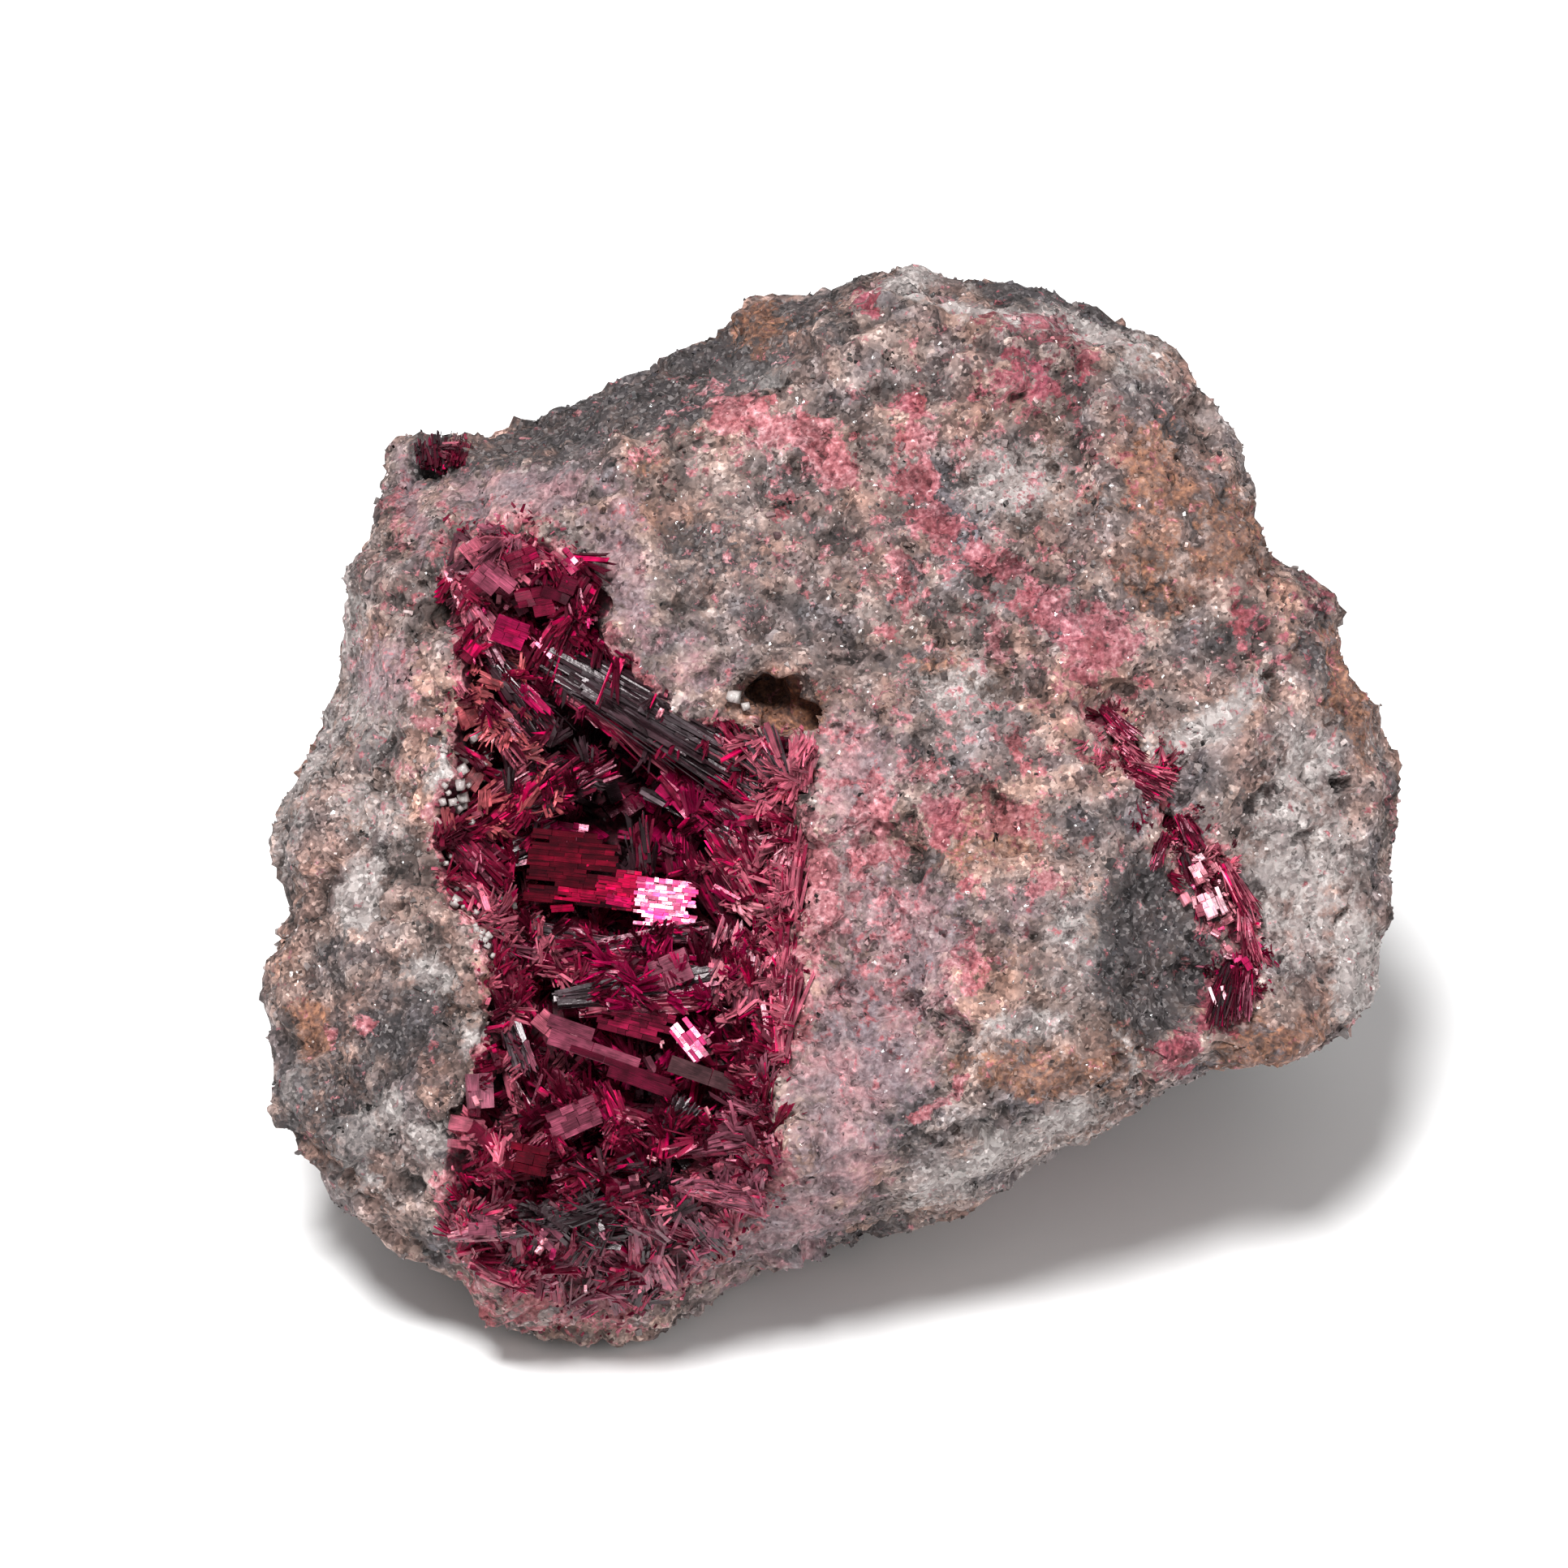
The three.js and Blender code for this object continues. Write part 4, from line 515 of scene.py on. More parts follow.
def oval_share(right, up, half_long, half_short, turn=0):
    """How far out from a turned oval's middle a spot lies, as a share of the way to its edge."""
    c, s = math.cos(math.radians(turn)), math.sin(math.radians(turn))
    return np.hypot((right * c + up * s) / half_long, (up * c - right * s) / half_short)


def vug_share(right, up):
    """The share of the way from the vug's centre out to its edge, straight between its points."""
    spokes = VUG_EDGE - VUG_CENTRE
    angle = np.arctan2(spokes[:, 1], spokes[:, 0])
    order = np.argsort(angle)
    reach = np.linalg.norm(spokes, axis=1)[order]
    dx, dy = right - VUG_CENTRE[0], up - VUG_CENTRE[1]
    limit = np.interp(np.arctan2(dy, dx), angle[order], reach, period=2 * math.pi)
    return np.hypot(dx, dy) / limit


def line_distance(right, up, line):
    """The distance from spots to a broken line."""
    spots = np.stack([right, up], axis=1)
    nearest = np.full(len(spots), 1e3)
    for a, b in zip(line[:-1], line[1:]):
        along = np.clip((spots - a) @ (b - a) / ((b - a) @ (b - a)), 0, 1)
        nearest = np.minimum(nearest, np.linalg.norm(spots - a - along[:, None] * (b - a), axis=1))
    return nearest


class RockFront:
    """The rock's front as a height map in the sight frame, read from the rock's own points: the
    largest toward in each cell, with empty cells filled from their neighbours. The lid is the same
    map with the vug and the fissure bridged evenly from rim to rim, and with the vug's middle raised
    toward the broad face and kept well above its floor."""

    CELL = 0.8
    EMPTY = -1e3
    VUG_REACH, FISSURE_REACH = 1.05, 2.6
    FILL_STEPS, BRIDGE_STEPS = 6, 900
    MIDDLE_RISE, FLOOR_GAP = 0.85, 4.4

    def __init__(self, sight, facing):
        seen = sight[facing]
        self.low = seen[:, :2].min(0) - 3
        size = np.ceil((seen[:, :2].max(0) + 3 - self.low) / self.CELL).astype(int) + 1
        self.height = np.full(size, self.EMPTY)
        cell = ((seen[:, :2] - self.low) / self.CELL).round().astype(int)
        np.maximum.at(self.height, (cell[:, 0], cell[:, 1]), seen[:, 2])
        for _ in range(self.FILL_STEPS):
            empty = self.height < self.EMPTY / 2
            for axis, step in ((0, 1), (0, -1), (1, 1), (1, -1)):
                beside = np.roll(self.height, step, axis)
                self.height = np.where(empty & (beside > self.height), beside, self.height)
        right, up = (np.indices(size).reshape(2, -1).T * self.CELL + self.low).T
        share = vug_share(right, up).reshape(size)
        crack = line_distance(right, up, FISSURE_LINE).reshape(size)
        level = broad_face(up).reshape(size)
        hollow = (share < self.VUG_REACH) | (crack < self.FISSURE_REACH)
        self.lid = np.where(hollow, level - 3, self.height)
        for _ in range(self.BRIDGE_STEPS):
            even = sum(np.roll(self.lid, step, axis) for axis in (0, 1) for step in (1, -1)) / 4
            self.lid = np.where(hollow, even, self.lid)
        self.lid += self.MIDDLE_RISE * (1 - smoothstep(share, 0.55, 0.97)) * (level - self.lid)
        gap = self.FLOOR_GAP * (1 - smoothstep(share, 0.78, 1.0))
        self.lid = np.where(share < 1, np.maximum(self.lid, self.height + gap), self.lid)

    def over(self, right, up, depth, clearance):
        """The level `depth` mm below the lid, but at least `clearance` mm over the rock."""
        return np.maximum(self.at(right, up, self.lid) - depth, self.at(right, up) + clearance)

    def at(self, right, up, heights=None):
        """The height between the four nearest cells, each weighed by its closeness."""
        h = self.height if heights is None else heights
        x = np.clip((right - self.low[0]) / self.CELL, 0, self.height.shape[0] - 1.001)
        y = np.clip((up - self.low[1]) / self.CELL, 0, self.height.shape[1] - 1.001)
        i, j = x.astype(int), y.astype(int)
        fx, fy = x - i, y - j
        low = h[i, j] * (1 - fx) + h[i + 1, j] * fx
        high = h[i, j + 1] * (1 - fx) + h[i + 1, j + 1] * fx
        return low * (1 - fy) + high * fy


def quad_mesh(name, points, quads, uv=None, colours=None):
    """A mesh of four-sided faces from whole arrays: points in mm, one uv pair for each face corner."""
    mesh = bpy.data.meshes.new(name)
    mesh.vertices.add(len(points))
    mesh.vertices.foreach_set("co", (points * MM).astype(np.float32).ravel())
    mesh.loops.add(quads.size)
    mesh.loops.foreach_set("vertex_index", quads.astype(np.int32).ravel())
    mesh.polygons.add(len(quads))
    mesh.polygons.foreach_set("loop_start", np.arange(0, quads.size, 4, dtype=np.int32))
    if uv is not None:
        mesh.uv_layers.new(name="along").uv.foreach_set("vector", uv.astype(np.float32).ravel())
    if colours is not None:
        layer = mesh.color_attributes.new("tint", "FLOAT_COLOR", "POINT")
        layer.data.foreach_set("color", colours.astype(np.float32).ravel())
    mesh.update(calc_edges=True)
    mesh.shade_flat()
    return mesh


def link(name, data):
    """A new object for a mesh, a light or a camera, put into the scene."""
    piece = bpy.data.objects.new(name, data)
    bpy.context.scene.collection.objects.link(piece)
    return piece


def add_piece(name, mesh, material, replaces=()):
    """A finished piece that rides on the block, in place of the named nodes."""
    if not isinstance(mesh, bpy.types.Mesh):
        mesh = quad_mesh(name, *mesh)
    piece = link(name, mesh)
    mesh.materials.clear()
    mesh.materials.append(material)
    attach(piece, "root")
    if replaces:
        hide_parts(*replaces)


# A blade's faces: four sides, then the root and the tip.
BLADE_POINTS = 8
PRISM_QUADS = np.array([
    (0, 1, 5, 4), (1, 2, 6, 5), (2, 3, 7, 6), (3, 0, 4, 7), (3, 2, 1, 0), (4, 5, 6, 7),
])


def prisms(root, tip, across, width, thick, taper, slant):
    """Flat blades from root to tip (mm, N x 3). Each is a rectangle, `width` along `across` by
    `thick`, carried straight from the root to the tip, where it is `taper` times as wide and cut
    aslant by `slant` mm. Returns points, quads and uv (mm across, mm along)."""
    along = tip - root
    length = np.linalg.norm(along, axis=1)
    along = along / length[:, None]
    across = unit(across - (across * along).sum(1)[:, None] * along)
    facing = np.cross(along, across)
    side = np.array([-0.5, 0.5, 0.5, -0.5])
    depth = np.array([-0.5, -0.5, 0.5, 0.5])
    ring = (
        across[:, None, :] * side[None, :, None] * width[:, None, None]
        + facing[:, None, :] * depth[None, :, None] * thick[:, None, None]
    )
    cut = along[:, None, :] * (side[None, :, None] * slant[:, None, None])
    low = root[:, None, :] + ring
    high = tip[:, None, :] + ring * taper[:, None, None] + cut
    points = np.concatenate([low, high], axis=1).reshape(-1, 3)
    quads = (np.arange(len(root))[:, None, None] * BLADE_POINTS + PRISM_QUADS[None]).reshape(-1, 4)
    # Each blade lies at its own place in the uv map, so that no two carry the same streaks.
    place = np.arange(len(root)) * 3.7 % 61.0
    x = place[:, None] + side[None] * width[:, None]
    shift = place[:, None] + 0.35 * depth[None]
    low_uv = np.stack([x + shift, np.zeros_like(x)], axis=2)
    high_uv = np.stack([x + shift, np.broadcast_to(length[:, None], x.shape)], axis=2)
    corner_uv = np.concatenate([low_uv, high_uv], axis=1)
    uv = corner_uv[:, PRISM_QUADS.ravel()].reshape(-1, 2)
    return points, quads, uv


def ragged_prisms(rng, root, tip, across, width, thick, taper, slant):
    """Prisms whose thickness and slanting cut are random shares of their width, within the ranges
    `thick` and plus or minus `slant`, and whose ends are random within `taper`."""
    count = len(width)
    return prisms(
        root, tip, across, width, width * rng.uniform(*thick, count), rng.uniform(*taper, count),
        width * rng.uniform(-slant, slant, count),
    )


def finished(shape, colours):
    """A shape from the sight frame as points, quads, uv and one colour for each of its points."""
    points, quads, uv = shape
    return to_world(points), quads, uv, np.repeat(colours, BLADE_POINTS, axis=0)


def join_parts(parts):
    """Several sets of points, quads, uv and colours as one."""
    points, quads, uv, colours = zip(*parts)
    counts = np.cumsum([0] + [len(p) for p in points[:-1]])
    quads = [q + count for q, count in zip(quads, counts)]
    return tuple(np.concatenate(values) for values in (points, quads, uv, colours))


def tint_of(rng, count, first, second, share, spread=0.35):
    """A colour for each blade: one of two tints, a little lighter or darker from blade to blade."""
    pick = rng.random(count) < share
    colours = np.where(pick[:, None], np.array(TINTS[second]), np.array(TINTS[first]))
    # Some blades take the painted glow instead, a bright tint that stands for light caught inside them.
    painted_glowing = (rng.random(count) < PAINTED_GLOW_SHARE) & (first not in DULL_TINTS)
    colours[painted_glowing] = TINTS["hot"]
    colours[:, :3] *= np.exp(rng.normal(0, spread, (count, 1)))
    return colours


def sheaf(rng, row):
    """A bundle of blades. Roots fill an oval around the root point and tips a wider one around the
    tip point; both ovals lie square to the bundle. Each blade takes a random stretch of the way
    between like places in the two ovals, so the bundle looks splintered."""
    first, second, share, root, tip, w0, w1, h0, h1, count, width, ragged = row
    count, width = int(count * SPLINTER_COUNT), width * SPLINTER_WIDTH
    over = RockState.front.over
    root, tip = (np.array([x, y, over(x, y, depth, SHEAF_CLEARANCE)]) for x, y, depth in (root, tip))
    along = tip - root
    length = np.linalg.norm(along)
    along /= length
    across = np.cross(along, (0, 0, 1.0))
    across /= np.linalg.norm(across)
    facing = np.cross(across, along)
    angle = rng.uniform(0, 2 * math.pi, count)
    reach = np.sqrt(rng.random(count))
    x, y = reach * np.cos(angle), reach * np.sin(angle)
    span = rng.uniform(0.30, 0.75, count) * (1 if ragged < 0.3 else 0.72)
    start = rng.uniform(-ragged * 0.3, 1, count) * (1 - span)

    def at(share_along):
        s = share_along[:, None]
        bow = SHEAF_BOW * length * np.sin(math.pi * np.clip(s, 0, 1)) * facing
        wide = across * (x[:, None] * (w0 + (w1 - w0) * s))
        return root + along * length * s + bow + wide + facing * (y[:, None] * (h0 + (h1 - h0) * s))

    low = at(start)
    high = at(start + span * rng.uniform(1 - ragged * 0.4, 1 + ragged * 0.35, count))
    swing = rng.normal(0, 0.03 + 0.3 * max(ragged - 0.2, 0), (count, 2)) * length * span[:, None]
    high += across * swing[:, :1] + facing * (0.6 * swing[:, 1:])
    roll = rng.normal(0, 0.7, count)
    flat = across * np.cos(roll)[:, None] + facing * np.sin(roll)[:, None]
    blade_width = width * rng.uniform(0.5, 2, count)
    shape = ragged_prisms(rng, low, high, flat, blade_width, (0.14, 0.4), (0.35, 1), 1.6)
    return finished(shape, tint_of(rng, count, first, second, share))


def plate(rng, row):
    """A cleavage plate: rows of flat bricks of uneven length in one tilted plane, each leaning a
    little on its own, so that the plate glints in pieces. Some bricks at the ends are missing."""
    tint, centre, heading, tilt_long, tilt_short, length, height, bricks, rows, wander = row
    cx, cy, depth = centre
    middle = np.array([cx, cy, RockState.front.over(cx, cy, depth, PLATE_CLEARANCE)])
    turn, a, b = (math.radians(x) for x in (heading, tilt_long, tilt_short))
    long = np.array([math.cos(turn) * math.cos(a), math.sin(turn) * math.cos(a), math.sin(a)])
    short = np.array([-math.sin(turn) * math.cos(b), math.cos(turn) * math.cos(b), math.sin(b)])
    short -= (short @ long) * long
    short /= np.linalg.norm(short)
    facing = np.cross(long, short)
    parts = rng.uniform(0.45, 1.55, (rows, bricks))
    parts *= length * rng.uniform(0.9, 1.04, (rows, 1)) / parts.sum(1, keepdims=True)
    ends = np.cumsum(parts, axis=1)
    x = ends - parts / 2 - ends[:, -1:] / 2 + rng.normal(0, 0.008, (rows, 1)) * length
    heights = rng.uniform(0.6, 1.4, rows)
    heights *= height / heights.sum()
    y = np.cumsum(heights) - heights / 2 - height / 2
    y, heights = (np.repeat(value, bricks) for value in (y, heights))
    x, parts = x.ravel(), parts.ravel()
    column = np.tile(np.arange(bricks), rows)
    kept = ~(((column == 0) | (column == bricks - 1)) & (rng.random(len(x)) < 0.2))
    x, y, parts, heights = x[kept], y[kept], parts[kept], heights[kept]
    count = len(x)
    rise = rng.normal(0, 0.035, count)
    spot = middle + x[:, None] * long + y[:, None] * short + rise[:, None] * facing
    lean = np.radians(rng.normal(0, wander, (count, 2)))
    face = facing + lean[:, :1] * long + lean[:, 1:] * short
    half = long * (parts * 0.492)[:, None]
    axis = half - face * (half * face).sum(1)[:, None]
    flat = short - face * (face @ short)[:, None]
    shape = prisms(
        spot - axis, spot + axis, flat, heights * 0.97, rng.uniform(0.3, 0.6, count),
        np.ones(count), rng.normal(0, 0.03, count),
    )
    return finished(shape, tint_of(rng, count, tint, tint, 0, min(0.12 + 0.05 * rows, 0.5)))


def sparkle_rows(rng, spots, tints, sizes, spread):
    """Rows for small plates near the slope that throws the key light to the eye, so that some glint.
    Spots are right, up and depth below the lid."""
    rows = []
    for spot in spots:
        heading = rng.uniform(-90, 90)
        c, s = math.cos(math.radians(heading)), math.sin(math.radians(heading))
        tilt_long = -math.degrees(MIRROR[0] * c + MIRROR[1] * s) + rng.normal(0, spread)
        tilt_short = -math.degrees(MIRROR[1] * c - MIRROR[0] * s) + rng.normal(0, spread)
        size = rng.uniform(*sizes)
        bricks, lines = rng.integers(1, 4, 2)
        rows.append((
            tints[rng.integers(len(tints))], tuple(spot), heading, tilt_long, tilt_short, size,
            size * rng.uniform(0.25, 0.7), int(bricks), int(lines), rng.uniform(3, 9),
        ))
    return rows


def depth_at(front, right, up, above):
    """How deep below the lid a thing lies that stands `above` mm over the rock."""
    return front.at(right, up, front.lid) - front.at(right, up) - above


def open_spots(right, up):
    """Which spots lie outside the holes that stay dark."""
    clear = np.ones(len(right), bool)
    for x, y, half_long, half_short in DARK_HOLES:
        clear &= oval_share(right - x, up - y, half_long, half_short) > 1
    return clear


def inward(rng, right, up):
    """A random heading for each spot, toward the vug's centre where the spot is near its edge."""
    outward = np.arctan2(up - VUG_CENTRE[1], right - VUG_CENTRE[0])
    near = smoothstep(vug_share(right, up), 0.6, 0.85)
    return outward + math.pi + rng.uniform(-1, 1, len(right)) * math.pi * (1 - 0.6 * near)


def sprays(rng, front, roots, heading, regions, sizes):
    """Small radiating groups of blades. Each group fans out from its root (sight frame, N x 3) in its
    own heading, and its blades' tips stay clear of the rock."""
    blades, shortest, longest, width = sizes
    right, up, level = roots.T
    groups = len(right)
    rise = rng.uniform(0.10, 1.0, groups)
    spread = rng.uniform(0.08, 0.45, groups)
    size = np.exp(rng.uniform(math.log(shortest), math.log(longest), groups))
    places = np.array([(x, y) for x, y, *_ in regions])
    spot = np.stack([right, up], axis=1) + rng.normal(0, 1.6, (groups, 2))
    region = np.linalg.norm(spot[:, None] - places[None], axis=2).argmin(1)
    first, second = (np.array([TINTS[row[n]] for row in regions])[region] for n in (2, 3))
    group_tint = np.where((rng.random(groups) < 0.45)[:, None], second, first)
    group_tint[:, :3] *= np.exp(rng.normal(0, 0.35, (groups, 1)))

    of = np.repeat(np.arange(groups), blades)
    number = len(of)
    turn = heading[of] + rng.normal(0, 1, number) * spread[of]
    lift = np.clip(rise[of] + rng.normal(0, 0.16, number), 0.02, 1.3)
    along = np.stack([np.cos(turn) * np.cos(lift), np.sin(turn) * np.cos(lift), np.sin(lift)], axis=1)
    x = right[of] + rng.normal(0, 0.22, number)
    y = up[of] + rng.normal(0, 0.22, number)
    root = np.stack([x, y, level[of] + rng.uniform(-0.1, 0.4, number)], axis=1)
    tip = root + along * (size[of] * rng.uniform(0.5, 1.0, number))[:, None]
    tip[:, 2] = np.maximum(tip[:, 2], front.at(tip[:, 0], tip[:, 1]) + rng.uniform(0.1, 0.7, number))
    flat = np.stack([-np.sin(turn), np.cos(turn), rng.normal(0, 0.8, number)], axis=1)
    blade_width = width * rng.uniform(0.5, 2.1, number) * (size[of] / longest) ** 0.5 * 1.3
    shape = ragged_prisms(rng, root, tip, flat, blade_width, (0.15, 0.5), (0.35, 1), 1.4)
    colours = group_tint[of]
    colours[:, :3] *= np.exp(rng.normal(0, 0.3, (number, 1)))
    # Some blades take the painted glow instead, a bright tint that stands for light caught inside them.
    colours[rng.random(number) < PAINTED_GLOW_SHARE] = TINTS["hot"]
    return finished(shape, colours)


def scatter_blades(rng, front, right, up, settings, tints):
    """Small blades standing on the rock: each grows from the height map at its spot, leans away from
    the eye's line by a random amount, and ends in a chisel."""
    low_size, high_size, width, lean = settings
    count = len(right)
    root = np.stack([right, up, front.at(right, up) - 0.15], axis=1)
    tilt = rng.uniform(0.15, lean, count)
    turn = rng.uniform(0, 2 * math.pi, count)
    along = np.stack([np.sin(tilt) * np.cos(turn), np.sin(tilt) * np.sin(turn), np.cos(tilt)], axis=1)
    tip = root + along * rng.uniform(low_size, high_size, count)[:, None]
    flat = np.stack([-np.sin(turn), np.cos(turn), rng.normal(0, 0.4, count)], axis=1)
    blade_width = width * rng.uniform(0.5, 1.8, count)
    shape = ragged_prisms(rng, root, tip, flat, blade_width, (0.2, 0.6), (0.5, 1), 0.9)
    return finished(shape, tint_of(rng, count, *tints))


def spots_inside(rng, count, low, high):
    """Random spots between two shares of the way out to the vug's edge."""
    spots = rng.uniform(VUG_EDGE.min(0) - 1, VUG_EDGE.max(0) + 1, (count * 4, 2))
    share = vug_share(spots[:, 0], spots[:, 1])
    return spots[(share > low) & (share < high)][:count].T


# Node building

ERYTHRITE_IOR, QUARTZ_IOR = 1.63, 1.54


class Nodes:
    """Short calls for building a material's nodes."""

    def __init__(self, name):
        self.material = bpy.data.materials.new(name)
        self.material.use_nodes = True
        self.tree = self.material.node_tree
        self.shader = self.tree.nodes["Principled BSDF"]

    def add(self, kind, **values):
        """A new node with the given settings."""
        node = self.tree.nodes.new(kind)
        for key, value in values.items():
            setattr(node, key, value)
        return node

    def feed(self, target, value):
        """Give an input a number, a colour or another node's output."""
        if isinstance(value, (int, float)):
            target.default_value = value
        elif isinstance(value, tuple):
            target.default_value = (*value, 1.0)
        else:
            self.tree.links.new(value, target)

    def shade(self, **values):
        """Feed the shader's own sockets, named with _ in place of spaces."""
        for name, value in values.items():
            self.feed(self.shader.inputs[name.replace("_", " ")], value)

    def attribute(self, name):
        """A colour attribute of the mesh."""
        return self.add("ShaderNodeAttribute", attribute_name=name)

    def noise(self, size, detail=2.0, vector=None, roughness=0.5, output="Fac"):
        """Noise on the object's own coordinates; `size` is the width of its lumps in mm."""
        node = self.add("ShaderNodeTexNoise")
        node.inputs["Scale"].default_value = 1 / MM / size
        node.inputs["Detail"].default_value = detail
        node.inputs["Roughness"].default_value = roughness
        self.feed(node.inputs["Vector"], vector or self.object_coordinates())
        return node.outputs[output]

    def cells(self, size, vector=None):
        """A random colour for each cell; cells are about `size` mm wide."""
        node = self.add("ShaderNodeTexVoronoi")
        node.inputs["Scale"].default_value = 1 / MM / size
        self.feed(node.inputs["Vector"], vector or self.object_coordinates())
        return node.outputs["Color"]

    def split(self, colour):
        """A colour's red, green and blue."""
        node = self.add("ShaderNodeSeparateColor")
        self.feed(node.inputs[0], colour)
        return node.outputs

    def vectors(self, operation, *values):
        """A sum on vectors; a plain number stands for three alike."""
        node = self.add("ShaderNodeVectorMath", operation=operation)
        for socket, value in zip(node.inputs, values):
            if isinstance(value, float):
                socket.default_value = (value,) * 3
            else:
                self.feed(socket, value)
        return node.outputs[0]

    def warped(self, size, amount):
        """The object's coordinates, pushed about by noise: up to `amount` mm by lumps of `size` mm."""
        push = self.noise(size, 3.0, output="Color")
        return self.vectors("MULTIPLY_ADD", push, 2 * amount * MM, self.object_coordinates())

    def object_coordinates(self):
        """The object's own coordinates, from one node for the whole material."""
        if not hasattr(self, "_object"):
            self._object = self.add("ShaderNodeTexCoord").outputs["Object"]
        return self._object

    def math(self, operation, a, b):
        """A sum on two numbers."""
        node = self.add("ShaderNodeMath", operation=operation)
        for socket, value in zip(node.inputs, (a, b)):
            self.feed(socket, value)
        return node.outputs[0]

    def ramp(self, value, *stops):
        """A colour ramp; each stop is (position, (r, g, b)) or (position, grey)."""
        node = self.add("ShaderNodeValToRGB")
        elements = node.color_ramp.elements
        while len(elements) < len(stops):
            elements.new(0.5)
        for element, (position, colour) in zip(elements, stops):
            element.position = position
            rgb = (colour,) * 3 if isinstance(colour, (int, float)) else colour
            element.color = (*rgb, 1.0)
        self.feed(node.inputs["Fac"], value)
        return node.outputs["Color"]

    def mix(self, share, a, b, blend="MIX"):
        """Two colours blended by a share."""
        node = self.add("ShaderNodeMix", data_type="RGBA", blend_type=blend)
        sockets = [s for s in node.inputs if s.enabled]
        for socket, value in zip(sockets, (share, a, b)):
            self.feed(socket, value)
        return [s for s in node.outputs if s.enabled][0]

    def leaned(self, normal, *cells):
        """The normal, leaned at random in each cell: pairs of a cell's random colour and an amount."""
        for colour, amount in cells:
            pushed = self.vectors("MULTIPLY_ADD", colour, amount, normal)
            normal = self.vectors("SUBTRACT", pushed, amount / 2)
        return self.vectors("NORMALIZE", normal)

    def bump(self, height, distance, strength=1.0, normal=None):
        """Relief of `distance` mm at full height."""
        node = self.add("ShaderNodeBump")
        node.inputs["Strength"].default_value = strength
        node.inputs["Distance"].default_value = distance * MM
        self.feed(node.inputs["Height"], height)
        if normal:
            self.feed(node.inputs["Normal"], normal)
        return node.outputs["Normal"]


def stained(n, mask, noise_value, softness, amount=0.5):
    """A stain's crisp, grainy edge: its soft mask plus noise, cut off by a narrow ramp."""
    shifted = n.math("ADD", mask, n.math("MULTIPLY", n.math("SUBTRACT", noise_value, 0.5), amount))
    return n.ramp(shifted, (0.5 - softness, 0.0), (0.5 + softness, 1.0))


